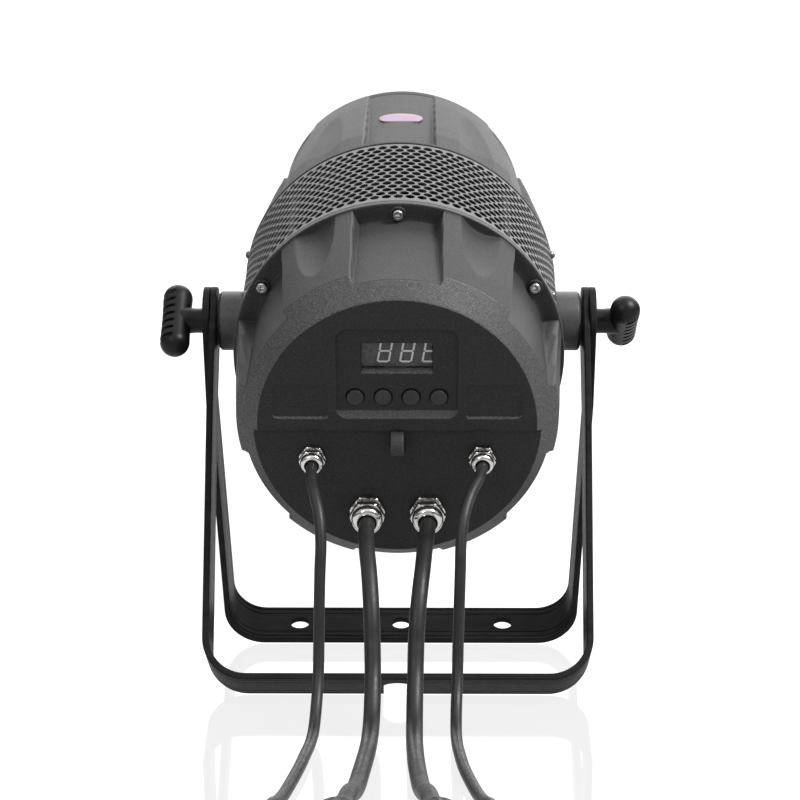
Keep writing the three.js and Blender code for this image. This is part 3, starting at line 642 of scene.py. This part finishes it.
def front_rim():
    low = BEZEL_BACK
    outline = rounded([(72.6, low), (BEZEL_RADIUS, low), (BEZEL_RADIUS, BEZEL_FRONT), (70.5, BEZEL_FRONT),
                       (70.5, BEZEL_FRONT - 2.5), (72.6, BEZEL_FRONT - 2.5)], [0.3, 0.4, 1.4, 0.6, 0.3, 0.2])
    can_piece("front_rim", [lathe(outline, 288)], POWDER_COAT, 40, "front_bezel")
    glass_low, glass_high = can_box("lens_glass")
    edge = glass_high[0]
    pane = rounded([(0, glass_low[1]), (edge, glass_low[1]), (edge, glass_high[1]), (0, glass_high[1])],
                   0.4, closed=False)
    can_piece("front_glass", [lathe(pane, 192)], CLEAR_GLASS, 40, "lens_glass")


# ---- perforated band
BAND_LOW, BAND_HIGH = can_box("mesh_band")
BAND_RADIUS = BAND_HIGH[0]
BAND_THICK = 0.6
HOLES_AROUND = 88
HOLE_ROWS = 16
ROW_STEP = 5.3
FIRST_ROW = 43.0
HOLE_RADIUS = 2.86


def perforated_band():
    """A twelve-sided cell round each hole: its outer skin, the hole's wall and its inner skin."""
    pitch = TAU / HOLES_AROUND
    width = pitch * BAND_RADIUS
    high = (width ** 2 / 4 + ROW_STEP ** 2) / (2 * ROW_STEP)
    low = ROW_STEP - high
    middle = (low + high) / 2
    cell_u = width * np.array([0.5, 0.5, 0.25, 0, -0.25, -0.5, -0.5, -0.5, -0.25, 0, 0.25, 0.5])
    cell_v = np.array([0, low, middle, high, middle, low, 0, -low, -middle, -high, -middle, -low])
    hole = HOLE_RADIUS * np.cos(angles(12)), HOLE_RADIUS * np.sin(angles(12))
    inside = BAND_RADIUS - BAND_THICK
    rings = []
    for row in range(HOLE_ROWS):
        v0 = FIRST_ROW - (HOLE_ROWS - 1 - row) * ROW_STEP
        edge_v = cell_v
        if row == 0:
            edge_v = np.where(cell_v < -0.1, BAND_LOW[1] + 0.9 - v0, cell_v)
        if row == HOLE_ROWS - 1:
            edge_v = np.where(cell_v > 0.1, BAND_HIGH[1] - 0.5 - v0, cell_v)
        for column in range(HOLES_AROUND):
            turn = (column + 0.5 * (row % 2)) * pitch
            for u, v, radius in ((cell_u, edge_v, BAND_RADIUS), (*hole, BAND_RADIUS), (*hole, inside),
                                 (cell_u, edge_v, inside)):
                phi = turn + u / BAND_RADIUS
                rings.append(np.stack([radius * np.sin(phi), v0 + v, radius * np.cos(phi)], -1))
    points = np.concatenate(rings)
    index = np.arange(len(points)).reshape(-1, 4, 12)
    quads = quads_between(index[:, :-1], index[:, 1:])
    keys = np.round(points / 0.02).astype(np.int64)
    _, first, inverse = np.unique(keys, axis=0, return_index=True, return_inverse=True)
    can_piece("perforated_band", [(points[first], [inverse.ravel()[quads]])], BAND_COAT, 35, "mesh_band")
    ring_low, ring_high = can_box("front_ring")
    back, front = ring_low[1] + 0.6, ring_high[1] - 0.35
    can_piece("band_ring", [lathe(slab(84, ring_high[0], back, front, 0.5), 288)], POWDER_COAT, 40,
              "front_ring")


# ---- screws
def socket_head(profile, wells, flats, depth, columns):
    """A screw's head with a hexagon socket, facing -y. wells are (scale, growth, y) of the socket's rings."""
    well = hexagon(flats, columns)
    rings = profile + [(well * scale + growth, y) for scale, growth, y in wells]
    return skin_parts(ring_rows(rings, columns), poles=[(0, 0, 0), (0, depth, 0)])


def cap_screw(radius, height, flats):
    outline = [(0.5, 0), (1, 0), (1, 0.82), (0.97, 0.92), (0.88, 1)]
    wells = [(1, 0.25, -height), (1, 0.02, -height + 0.2), (1, 0, -height * 0.35), (0.3, 0, -height * 0.28)]
    return socket_head([(radius * r, -height * y) for r, y in outline], wells, flats, -height * 0.26, 48)


def domed_screw(radius, height, flats):
    dome = [(radius * math.cos(a), -height * math.sin(a)) for a in np.linspace(0, 1.05, 7)]
    lip = dome[-1][1]
    wells = [(1, 0.15, lip - 0.05), (1, 0, lip + 0.1), (0.9, 0, -height * 0.3)]
    return socket_head([(radius * 0.6, 0)] + dome, wells, flats, -height * 0.25, 40)


def on_band(angle, y):
    """A place function for a part that faces outwards on the band, at that angle round the can."""
    place = Matrix.Rotation(math.radians(angle), 4, "Y") @ Matrix.Translation((0, y, BAND_RADIUS))
    return turned_place(place @ Matrix.Rotation(math.radians(-90), 4, "X"))


def screws():
    for i in range(6):
        low, high = can_box(f"housing_screw_{i + 1}")
        centre = (low + high) / 2
        place = turned_place(Matrix.Translation((centre[0], -FLANGE_BACK - 0.3, centre[2])))
        can_piece(f"cap_screw_{i + 1}", [cap_screw(3.25, 4.0, 2.7)], ZINC_STEEL, 35,
                  f"housing_screw_{i + 1}", place=place)
        collar = slab(3.55, 4.7, -0.1, -1.5, 0.35)
        can_piece(f"screw_seat_{i + 1}", [lathe(collar, 64)], POWDER_COAT, 40, place=place)
    spots = [(a, BAND_HIGH[1] - 3.6) for a in (75.5, -75.5, 142, -142)]
    spots += [(a, BAND_LOW[1] + 4.2) for a in (69, -69, 141, -141)]
    for number, (angle, y) in enumerate(spots, 1):
        can_piece(f"band_screw_{number}", [domed_screw(2.7, 2.9, 2.0)], DARK_STEEL, 35, place=on_band(angle, y))


# ---- control panel
DIGIT_PITCH = 12.7
DIGIT_HEIGHT = 14.2
DIGIT_WIDTH = 7.4
SEGMENT = 1.05
DOT_X, DOT_Z, DOT_RADIUS = 5.1, -6.3, 0.75
DIGIT_LEAN = math.tan(math.radians(10))
LIT = ["bc", "abcdefg", "abcdefg", "acdefg"]


def segment_shape(name):
    """Corners of a segment about its digit's middle, before the digit leans."""
    w, h, t = DIGIT_WIDTH / 2, DIGIT_HEIGHT / 2, SEGMENT / 2
    gap = 0.22
    across = {"a": h - t, "g": 0.0, "d": -h + t}
    if name in across:
        z, inner = across[name], w - 2 * t - gap
        return [(-inner - t, z), (-inner, z + t), (inner, z + t), (inner + t, z), (inner, z - t),
                (-inner, z - t)]
    x = w - t if name in "bc" else -w + t
    low, high = (gap + t, h - 2 * t) if name in "bf" else (-h + 2 * t, -gap - t)
    return [(x, low - t), (x + t, low), (x + t, high), (x, high + t), (x - t, high), (x - t, low)]


def prism(outline, front, back):
    """A flat polygon in x and z, made thick along y."""
    count = len(outline)
    points = np.array([(x, y, z) for y in (front, back) for x, z in outline], dtype=float)
    ring = np.arange(count)
    sides = np.stack([ring, np.roll(ring, -1), np.roll(ring, -1) + count, ring + count], -1)
    return points, [sides, ring[None, ::-1], (ring + count)[None, :]]


def display():
    low, high = can_box("display_module")
    front, centre_z = low[1] - 1.2, (low[2] + high[2]) / 2
    half_w, half_h = (high[0] - low[0]) / 2, (high[2] - low[2]) / 2
    outline = slab(-half_w, half_w, centre_z - half_h, centre_z + half_h, 0.4)
    can_piece("display_block", [prism(outline, front, high[1])], DISPLAY_BODY, 30, "display_module")
    parts = {"lit": [], "dim": []}
    for digit in range(4):
        centre_x = (digit - 1.5) * DIGIT_PITCH - 0.3
        for name in "abcdefg":
            shape = [(centre_x + x + z * DIGIT_LEAN, centre_z + z) for x, z in segment_shape(name)]
            state = "lit" if name in LIT[digit] and digit > 0 else "dim"
            parts[state].append(prism(shape, front - 0.12, front - 0.02))
        dot = [(centre_x + DOT_X + DOT_RADIUS * math.cos(a), centre_z + DOT_Z + DOT_RADIUS * math.sin(a))
               for a in angles(16)]
        parts["dim"].append(prism(dot, front - 0.12, front - 0.02))
    can_piece("display_segments", parts["lit"], LIT_SEGMENT, 30)
    can_piece("display_segments_off", parts["dim"], DIM_SEGMENT, 30)


def buttons():
    for name, x in zip(("menu", "up", "down", "enter"), BUTTON_X):
        low, high = can_box(f"button_{name}")
        r = BUTTON_RADIUS
        crown = [(r * math.sin(a) * 1.25, -0.9 * math.cos(a) + 0.9) for a in np.linspace(0.02, 0.72, 6)]
        profile = [(0, low[1])] + [(p, low[1] + q * 0.7) for p, q in crown]
        profile += [(r - 0.35, low[1] + 0.25), (r - 0.08, low[1] + 0.55), (r, low[1] + 1), (r, high[1] - 1.3),
                    (r + 1.2, high[1] - 1.2), (r + 1.2, high[1]), (0, high[1])]
        place = turned_place(Matrix.Translation((x, 0, BUTTON_Z)))
        piece(f"button_cap_{name}", [lathe(profile, 64)], place, BUTTON_RUBBER, f"button_{name}", sharp=40,
              replaces=[f"button_{name}"])


# ---- glands and eye
NUT_COLUMNS = 72


def hex_block(flats, front, back, bore, turn):
    """A chamfered hexagonal nut between two distances, pierced by a bore."""
    corner = flats / math.sqrt(3)
    cut = (corner - flats / 2) * 0.62
    thick = back - front
    profile = [(corner - cut * 1.5, front), (corner - cut, front + 0.1), (corner - 0.15, front + cut * 0.8),
               (corner + 0.2, front + cut), (corner + 0.2, back - min(cut, thick * 0.3)),
               (corner - cut, back - 0.1), (corner - cut * 1.5, back)]
    sides = hexagon(flats, NUT_COLUMNS, turn)
    rows = ring_rows([(soft_min(radius, sides, 0.25), y) for radius, y in profile], NUT_COLUMNS)
    rows += ring_rows([(bore, back), (bore, front)], NUT_COLUMNS)
    return skin_parts(rows, closed=True)


def gland(kind, way, sign):
    spec = GLANDS[kind]
    name = f"{kind}_{way}"
    face = -FACE + STEP_DEPTH
    place = turned_place(Matrix.Translation((sign * spec["x"], 0, spec["z"])))
    flats, length, bore = spec["flats"], spec["length"], spec["cord"] / 2 + 0.3
    tip = face - length
    turn = {"signal": -0.12, "power": -0.08}[kind] + (0.03 if sign > 0 else 0)
    first = hex_block(flats, face - length * 0.2, face - 0.25, bore + 1, turn)
    neck = lathe(slab(bore + 0.8, flats * 0.43, face - length * 0.36, face - length * 0.18, 0.2), NUT_COLUMNS)
    can_piece(f"{name}_gland_base", [first, neck], NICKEL, 32, f"{name}_gland_body", place=place)
    grip = hex_block(flats * 0.97, face - length * 0.62, face - length * 0.36, bore + 1.2, turn + 0.09)
    start = face - length * 0.6
    dome = [(bore + 0.5, start), (flats * 0.47, start), (flats * 0.485, start - length * 0.08)]
    for a in np.linspace(0, 1, 9):
        lean = a * math.pi / 2
        dome.append((flats * (0.31 + 0.165 * math.cos(lean)), start - length * (0.14 + 0.24 * math.sin(lean))))
    dome += [(bore + 0.9, tip - 0.05), (bore + 0.45, tip + 0.3), (bore + 0.3, tip + 2.2)]
    can_piece(f"{name}_gland_dome", [grip, lathe(dome, NUT_COLUMNS)], NICKEL, 32, f"{name}_gland_nut",
              place=place)
    seal = slab(bore - 0.1, bore + 0.9, tip + 0.4, tip + 4, 0.3)
    can_piece(f"{name}_gland_seal", [lathe(seal, 48)], BLACK_RUBBER, 40, place=place)
    washer = slab(flats * 0.3, flats * 0.555, face - 0.3, face + 0.2, 0.15)
    can_piece(f"{name}_gland_washer", [lathe(washer, 64)], BLACK_RUBBER, 40, place=place)


def safety_eye():
    low, high = can_box("safety_eye")
    half = (high[0] - low[0]) / 2
    reach, height = high[1] - low[1], high[2] - low[2]
    radius = height / 2
    centre = (low[1] + radius, high[2] - radius)
    hole = 3.2
    columns = 96
    theta = angles(columns)
    unit = np.stack([np.cos(theta), np.sin(theta)], -1)
    along, up = np.maximum(unit, 1e-6)[:, 0], np.maximum(np.abs(unit), 1e-6)[:, 1]
    square = np.minimum((reach - radius + 0.6) / along, radius / up)
    outline = unit * np.where(unit[:, 0] > 0, square, radius)[:, None]
    inner = unit * hole
    fillet = 0.9
    turns = np.linspace(0, math.pi / 2, 4)
    rows = []
    for edge, size, grow, sides in ((outline, radius, -1, (-1, 1)), (inner, hole, 1, (1, -1))):
        for side, run in zip(sides, (turns, turns[::-1])):
            for a in run:
                ring = edge * (1 + grow * fillet * (1 - math.sin(a)) / size)
                x = side * (half - fillet * (1 - math.cos(a)))
                rows.append(np.stack([np.full(columns, x), centre[0] + ring[:, 0], centre[1] + ring[:, 1]], -1))
    can_piece("safety_tab", [skin_parts(rows, closed=True)], POWDER_COAT, 50, "safety_eye")


# ---- pivots and knobs
def pivots():
    for side, sign in (("left", -1), ("right", 1)):
        low, high = can_box(f"pivot_boss_{side}")
        radius = (high[1] - low[1]) / 2
        start, end = sorted((abs(low[0]), abs(high[0])))
        place = turned_place(Matrix.Rotation(math.radians(-90 * sign), 4, "Z"))
        outline = rounded([(4.2, start), (radius, start), (radius, end - 1.4), (radius - 1.4, end), (4.2, end)],
                          [0, 0.5, 0.5, 0.4, 0.3])
        can_piece(f"boss_{side}", [lathe(outline, 144)], BOSS_COAT, 30, f"pivot_boss_{side}", place=place)
        low, high = can_box(f"friction_washer_{side}")
        start, end = sorted((abs(low[0]), abs(high[0])))
        ring = slab(4.2, 15.5, start - 0.25, end + 0.25, 0.2)
        can_piece(f"washer_{side}", [lathe(ring, 96)], BLACK_RUBBER, 40, f"friction_washer_{side}", place=place)


KNOB_TURN = {"left": -41, "right": 65}
GRIP_AXIS = 139.5                              # how far out the middle of the grip's bar is
GRIP_SLOTS = 7
SLOT_PITCH = 5.6
SLOT_DEPTH = 2.0


def knob(side, sign):
    """A T grip: a round-ended bar with cross slots on its outward side, on a waisted hub."""
    local = (node_points(f"knob_{side}") - PIVOT) / MM
    x = local[:, 0] * sign
    turn = math.radians(KNOB_TURN[side])
    reach = np.abs(local @ [0, -math.sin(turn), math.cos(turn)]).max()
    grip = x.max() - GRIP_AXIS
    half = reach - grip
    phi = angles(96)
    rows = []
    ends = [(half - grip * math.sin(a), grip * math.cos(a)) for a in np.linspace(-math.pi / 2 + 0.12, 0, 9)]
    stations = [(-u, radius) for u, radius in ends]
    stations += [(u, grip) for u in np.arange(-half + 0.25, half - 0.1, 0.25)] + ends[::-1]
    outward_side = ramp_up(-0.05, 0.3, np.cos(phi))
    for u, radius in stations:
        slot = abs((u / SLOT_PITCH + GRIP_SLOTS / 2) % 1 - 0.5) * SLOT_PITCH
        inside = 1 - ramp_up(0.7, 1.15, slot) if abs(u) < GRIP_SLOTS * SLOT_PITCH / 2 else 0
        waist = 1 - 0.035 * math.cos(u / half * math.pi / 2) if abs(u) < half else 1
        r = radius * waist - SLOT_DEPTH * inside * outward_side
        rows.append(np.stack([GRIP_AXIS + r * np.cos(phi), r * np.sin(phi), np.full(len(phi), u)], -1))
    bar = skin_parts(rows, poles=[(GRIP_AXIS, 0, -half - grip), (GRIP_AXIS, 0, half + grip)])
    start = x.min()
    hub = [(4.3, start), (7.3, start), (7.8, start + 0.5), (7.7, start + 5), (8.1, start + 9), (8.6, 137),
           (4.3, 137)]
    hub_rows = [row[:, [1, 0, 2]] for row in ring_rows(hub, 72)]
    parts = [bar, skin_parts(hub_rows, closed=True)]

    points, faces = merge_parts(parts)
    if sign < 0:
        faces = [face[:, ::-1] for face in faces]
    mesh_object(f"grip_{side}", leg_place(turn)(points * [sign, 1, 1]), faces, BLACK_RUBBER, f"knob_{side}",
                35, [f"knob_{side}"])


# ---- brackets
STRIP_WIDTH = 37.0
STRIP_THICK = 4.0
LEG_LENGTH = 233.5
LEG_STRAIGHT = 50.0
CORNER_RADIUS = 26.0
END_RADIUS = 21.2
BOLT_HOLE, BOLT_X = 6.5, (-68, 0, 68)
HOOK_HOLE, SLOT_LENGTH = 8.5, 27.5
GROOVES = ((3.4, 1.2, 0.6), (8.4, 1.0, 0.4))   # distance from the edge, width, depth


def strip_section():
    """(across, into) points round the strip, from the outer face to the inner face."""
    half = STRIP_WIDTH / 2
    chamfer = 0.75
    face = [(-half + chamfer, 0)]
    for sign, grooves in ((-1, GROOVES), (1, GROOVES[::-1])):
        for distance, width, depth in grooves:
            centre = sign * (half - distance)
            face += [(centre - width / 2, 0), (centre - width / 4, depth), (centre + width / 4, depth),
                     (centre + width / 2, 0)]
    face.append((half - chamfer, 0))
    back = [(across, STRIP_THICK - into) for across, into in face[::-1]]
    return face + [(half, chamfer), (half, STRIP_THICK - chamfer)] + back + \
        [(-half, STRIP_THICK - chamfer), (-half, chamfer)]


def bracket_path(half_top, half_foot):
    """(x, z, outward x, outward z, half width) along the outer face, from the left end to the right."""
    half = STRIP_WIDTH / 2
    rounding = [(END_RADIUS * math.cos(t), END_RADIUS * math.sin(t)) for t in np.linspace(0, math.pi / 2, 13)]
    upright = [(z, max(wide, 0.6)) for z, wide in rounding if wide < half]
    upright += [(z, half) for z in (math.sqrt(END_RADIUS ** 2 - half ** 2), 0.0, -LEG_STRAIGHT)]
    right = [(half_top, z, 1.0, 0.0, wide) for z, wide in upright]
    centre = (half_foot - CORNER_RADIUS, -LEG_LENGTH + CORNER_RADIUS)
    lean = math.atan2(half_top - half_foot, -LEG_STRAIGHT - centre[1])
    for t in np.linspace(0, 1, 6)[1:-1]:
        right.append((half_top + (half_foot - half_top) * t, -LEG_STRAIGHT + (centre[1] + LEG_STRAIGHT) * t,
                      math.cos(lean), -math.sin(lean), half))
    for t in np.linspace(0, math.pi / 2, 17):
        right.append((centre[0] + CORNER_RADIUS * math.cos(t), centre[1] - CORNER_RADIUS * math.sin(t),
                      math.cos(t), -math.sin(t), half))
    left = [(-x, z, -nx, nz, wide) for x, z, nx, nz, wide in right]
    return left + right[::-1]


def bracket_strip(half_top, half_foot):
    section = strip_section()
    rows = []
    for x, z, nx, nz, wide in bracket_path(half_top, half_foot):
        squeeze = wide / (STRIP_WIDTH / 2)
        rows.append([(x - nx * into, across * squeeze, z - nz * into) for across, into in section])
    rows = np.array(rows)
    return skin_parts(rows, poles=[rows[0].mean(0), rows[-1].mean(0)])


def cut(target, cutters, place):
    """Takes the cutters, parts in the bracket's frame, out of the target's mesh."""
    helpers = []
    for number, part in enumerate(cutters):
        points, faces = merge_parts([part])
        mesh = bpy.data.meshes.new("cutter")
        mesh.from_pydata(place(points).tolist(), [], [list(map(int, f)) for face in faces for f in face])
        helper = bpy.data.objects.new("cutter", mesh)
        bpy.context.scene.collection.objects.link(helper)
        helpers.append(helper)
        modifier = target.modifiers.new(f"cut_{number}", "BOOLEAN")
        modifier.object = helper
        modifier.solver = "EXACT"
    bpy.context.view_layer.update()
    result = bpy.data.meshes.new_from_object(target.evaluated_get(bpy.context.evaluated_depsgraph_get()))
    target.modifiers.clear()
    result.name = target.data.name
    target.data = result
    result.set_sharp_from_angle(angle=math.radians(30))
    for helper in helpers:
        bpy.data.objects.remove(helper)


def arc(x, y, radius, start, stop, count):
    return [(x + radius * math.cos(a), y + radius * math.sin(a)) for a in np.linspace(start, stop, count)]


def cutter(outline):
    """A prism through the crossbar, from an outline seen along the legs."""
    rows = np.array([[(x, y, z) for x, y in outline] for z in (-LEG_LENGTH - 6, -LEG_LENGTH + 10)])
    return skin_parts(rows, poles=[rows[0].mean(0), rows[1].mean(0)])


def brackets():
    for name, angle, body in (("outer_bracket", SPLAY, "outer_bracket"), ("inner_bracket", -SPLAY, "stand")):
        place = leg_place(angle)
        local = (node_points(name) - PIVOT) / MM @ leg_axes(angle).T
        foot = local[local[:, 2] < -LEG_LENGTH + CORNER_RADIUS + 0.5]
        strip = piece(f"{name}_strip", [bracket_strip(local[:, 0].max(), foot[:, 0].max())], place,
                      SATIN_BLACK, None, sharp=30, replaces=[name])
        if name == "outer_bracket":
            cut(strip, [cutter(arc(x, 0, BOLT_HOLE, 0, TAU, 65)[:-1]) for x in BOLT_X], place)
        else:
            slot = arc(0, STRIP_WIDTH / 2 - SLOT_LENGTH + HOOK_HOLE, HOOK_HOLE, math.pi, TAU, 33)
            cut(strip, [cutter([(-HOOK_HOLE, 30), *slot, (HOOK_HOLE, 30)])], place)
        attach(strip, body)


# ---- cords
SIGNAL_FALL = [(-201, 70), (-202.5, 50), (-207, 31), (-217, 16), (-232, 6.6), (-250, 3.6), (-275, 3.6),
               (-305, 3.6), (-335, 3.6), (-362, 3.6), (-383, 5.4), (-400, 8.4), (-413, 9.2), (-426, 9.2)]
POWER_FALL = [(-158, 103.3), (-170.5, 97), (-183.5, 87.5), (-195, 75.5), (-202, 62), (-206, 48), (-211.5, 34),
              (-221, 21.5), (-235, 11), (-253, 5.8), (-275, 5.1), (-300, 5.1), (-328, 5.1), (-352, 5.1),
              (-372, 7.4), (-391, 11.6), (-408, 13.4), (-424, 13.5)]
ROUTES = {      # across, then (along, up), in the row's frame
    "signal_in": ([-48.6, -46, -43.2, -42, -42.4, -42.8, -43, -43.2, -43.9, -44.6, -45.5, -46.8, -48.5, -50.8,
                   -53.2, -55, -56.6, -57.8, -59],
                  [(-169.5, 136.6), (-182, 129), (-191.5, 118.5), (-197, 105), (-199.8, 89)] + SIGNAL_FALL),
    "signal_out": ([46.6, 42, 38.2, 36.2, 35.7, 35.1, 34.5, 34.1, 33.4, 33.1, 33.4, 34.4, 36.1, 39, 42.3, 45,
                    47.2, 48.9, 50.5],
                   [(-168.5, 137.2), (-180.5, 130), (-190.5, 120), (-196.5, 106), (-199.8, 90)] + SIGNAL_FALL),
    "power_in": ([-17.8, -17.1, -15.6, -14.4, -13.6, -13.1, -12.8, -12.8, -13.1, -13.7, -14.3, -15.3, -16.6,
                  -17.8, -18.8, -19.8, -20.7, -21.6], POWER_FALL),
    "power_out": ([17, 15.9, 14.7, 13.1, 11.8, 11.1, 10.8, 10.5, 10.4, 10.5, 10.9, 11.6, 12.8, 14.2, 15.7, 17.1,
                   18.4, 19.6], POWER_FALL),
}
WAYS = (("in", -1), ("out", 1))


def smooth_route(points, per_span=10):
    """A centripetal Catmull-Rom curve through the points."""
    points = [np.array(p, dtype=float) for p in points]
    padded = [2 * points[0] - points[1]] + points + [2 * points[-1] - points[-2]]
    out = []
    for i in range(1, len(padded) - 2):
        p = padded[i - 1:i + 3]
        t = [0.0]
        for a, b in zip(p, p[1:]):
            t.append(t[-1] + math.sqrt(np.linalg.norm(b - a)))
        for u in np.linspace(t[1], t[2], per_span, endpoint=False):
            def blend(a, b, ta, tb):
                return a * (tb - u) / (tb - ta) + b * (u - ta) / (tb - ta)
            a1, a2, a3 = (blend(p[k], p[k + 1], t[k], t[k + 1]) for k in range(3))
            b1, b2 = blend(a1, a2, t[0], t[2]), blend(a2, a3, t[1], t[3])
            out.append(blend(b1, b2, t[1], t[2]))
    return np.array(out + [points[-1]])


def tube_parts(path, radius, columns=28):
    """A round tube along a path in metres, with softly rounded ends."""
    tangents = np.gradient(path, axis=0)
    tangents /= np.linalg.norm(tangents, axis=1)[:, None]
    side = np.cross(tangents[0], [0, 0, 1.0])
    side /= np.linalg.norm(side)
    phi = angles(columns)
    rows = []
    for point, tangent in zip(path, tangents):
        side = side - tangent * (side @ tangent)
        side /= np.linalg.norm(side)
        other = np.cross(tangent, side)
        rows.append(point + radius * (np.cos(phi)[:, None] * side + np.sin(phi)[:, None] * other))
    return skin_parts(rows, poles=[path[0], path[-1]])


def connector(name, kind):
    """A screwed waterproof connector: a ribbed sleeve behind a knurled coupling nut."""
    end = np.array(MOUNTS[f"{name}_end"]["pos_m"])
    heading = np.array(MOUNTS[f"{name}_end"]["axis"])
    side = np.cross(heading, [0, 0, 1.0])
    axes = np.array([side, heading, [0, 0, 1.0]])
    length, big, small = {"signal": (66.0, 9.0, 4.4), "power": (86.0, 13.2, 6.2)}[kind]
    columns = 96
    flutes = 0.8 * (0.5 - 0.5 * np.cos(18 * angles(columns))) ** 0.6
    boot = length * 0.34
    profile = []
    for t in np.linspace(0, 1, 25):
        rib = 0.35 * (0.5 + 0.5 * math.cos(t * 6 * TAU))
        profile.append((small + (big * 0.8 - small) * t ** 1.3 - rib * (1 - t), t * boot))
    nut, nut_end = length * 0.38, length * 0.72
    profile += [(big * 0.84, nut - 1), (big * 0.9, nut), (big - 0.25, nut + 0.4)]
    profile += [(big - flutes, y) for y in np.linspace(nut + 0.8, nut_end - 0.8, 6)]
    profile += [(big - 0.25, nut_end - 0.4), (big * 0.9, nut_end), (big * 0.87, nut_end + 0.6),
                (big * 0.87, length - 0.6), (big * 0.84, length), (big * 0.68, length),
                (big * 0.66, length - 0.4), (big * 0.66, length - 6)]

    def place(points):
        local = np.array(points)
        local[:, 1] -= length
        return end + local * MM @ axes

    parts = [skin_parts(ring_rows(profile, columns), poles=[(0, 0, 0), (0, length - 6, 0)])]
    for a in angles(3):
        x, z = big * 0.3 * math.sin(a), big * 0.3 * math.cos(a)
        pin = [(0, length - 7), (0.9, length - 7), (0.9, length - 1.6), (0.5, length - 1.2), (0, length - 1.2)]
        points, faces = lathe(pin, 16)
        parts.append((points + [x, 0, z], faces))
    return piece(f"{name}_plug", parts, place, BLACK_PLASTIC, "stand", sharp=40,
                 replaces=[f"{name}_connector"])


def cords():
    for kind, spec in GLANDS.items():
        for way, sign in WAYS:
            name = f"{kind}_{way}"
            face = -FACE + STEP_DEPTH
            mouth = can_place([sign * spec["x"], face - spec["length"], spec["z"]])
            inside = can_place([sign * spec["x"], face - spec["length"] + 9, spec["z"]])
            route = [mouth] + [np.array([x, *fall]) * MM for x, fall in zip(*ROUTES[name])]
            path = smooth_route(route)
            plug = connector(name, kind)
            whole = np.vstack([np.linspace(inside, mouth, 6)[:-1], path])
            tube = [tube_parts(whole, spec["cord"] / 2 * MM)]
            cord = piece(f"{name}_lead", tube, np.asarray, CORD_RUBBER, None, 40, [f"{name}_cord"])
            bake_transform(cord)


# ---- the rest
def label():
    """A blank oval label on the top channel of the front casting."""
    middle_y, half_x, half_y = 127.0, 14.2, 11.5
    phi = angles(96)

    def ring(scale, lift):
        across, along = half_x * scale * np.cos(phi), half_y * scale * np.sin(phi)
        y = middle_y + np.maximum(along, -0.62 * half_y * scale)
        return np.stack([across, y, channel_floor(y) + lift], -1)

    rows = [ring(1, -0.4), ring(1, 0.02), ring(0.985, 0.12), ring(0.6, 0.14)]
    centre = channel_floor(middle_y)
    poles = [(0, middle_y, centre - 0.4), (0, middle_y, centre + 0.14)]
    can_piece("blank_label", [skin_parts(rows, poles=poles)], LABEL_FILM, 50)


def carried_over():
    """The CAD nodes that keep their own solids get their finishes."""
    finishes = {
        "lens_gasket": BLACK_RUBBER, "reflector": BRIGHT_REFLECTOR, "led_module": PHOSPHOR,
        "heat_sink": ANODISED, "fan_frame": BLACK_PLASTIC, "fan_rotor": BLACK_PLASTIC,
        "bulkhead_plate": ANODISED, "power_supply": BARE_ALUMINIUM, "driver_board": CIRCUIT_BOARD,
        "control_board": CIRCUIT_BOARD, "display_window": TINTED_WINDOW,
    }
    finishes.update({f"tie_rod_{i + 1}": ANODISED for i in range(4)})
    finishes.update({f"knob_stud_{side}": ZINC_STEEL for side in ("left", "right")})
    for node, finish in finishes.items():
        slots = frame["nodes"][node].data.materials
        slots.clear()
        slots.append(finish.material)


def studio():
    world = bpy.data.worlds.new("studio")
    world.use_nodes = True
    tree = world.node_tree
    split = add_node(tree, "SeparateXYZ", Vector=add_node(tree, "TexCoord").outputs["Generated"])

    def lit(axis, start, stop, strength):
        span = add_node(tree, "MapRange", Value=split.outputs[axis], From_Min=start, From_Max=stop,
                        To_Min=0, To_Max=strength)
        span.interpolation_type = "SMOOTHSTEP"
        return span.outputs["Result"]

    def plus(first, second):
        node = add_node(tree, "Math")
        node.operation = "ADD"
        feed(tree, node.inputs[0], first)
        feed(tree, node.inputs[1], second)
        return node.outputs[0]

    light = plus(plus(lit("Y", 0.75, 0.95, 1.0), lit("Z", 0.1, 0.9, 1.0)), 0.12)
    feed(tree, tree.nodes["Background"].inputs["Strength"], light)
    feed(tree, tree.nodes["Background"].inputs["Color"], (1, 1, 1, 1))
    bpy.context.scene.world = world
    target = Vector(PIVOT)

    def area(name, place, size, power):
        data = bpy.data.lights.new(name, "AREA")
        data.shape = "DISK"
        data.size = size
        data.energy = power
        light = bpy.data.objects.new(name, data)
        light.location = target + Vector(place)
        light.rotation_euler = (-Vector(place)).to_track_quat("-Z", "Y").to_euler()
        bpy.context.scene.collection.objects.link(light)

    area("overhead", (1.3, -0.7, 1.5), 0.8, 64)
    area("front_left", (-0.9, -1.7, 0.9), 0.5, 7)
    area("behind", (0.2, 1.5, 1.0), 2.4, 26)

    bpy.ops.mesh.primitive_plane_add(size=30, location=(0, 0, 0))
    floor = bpy.context.object
    floor.name = "floor"
    shiny = Finish("floor", None, (noise(3, 2), (0.3, 0.02), (0.7, 0.025)), 0.05, IOR=1.09,
                   Emission_Color=(1, 1, 1, 1), Emission_Strength=0.84)
    floor.data.materials.append(shiny.material)
    bpy.context.scene.view_settings.view_transform = "Standard"


add_camera()
cords()
rear_casting()
front_casting()
front_rim()
perforated_band()
screws()
display()
buttons()
for kind in GLANDS:
    for way, sign in WAYS:
        gland(kind, way, sign)
safety_eye()
pivots()
knob("left", -1)
knob("right", 1)
brackets()
label()
carried_over()
studio()
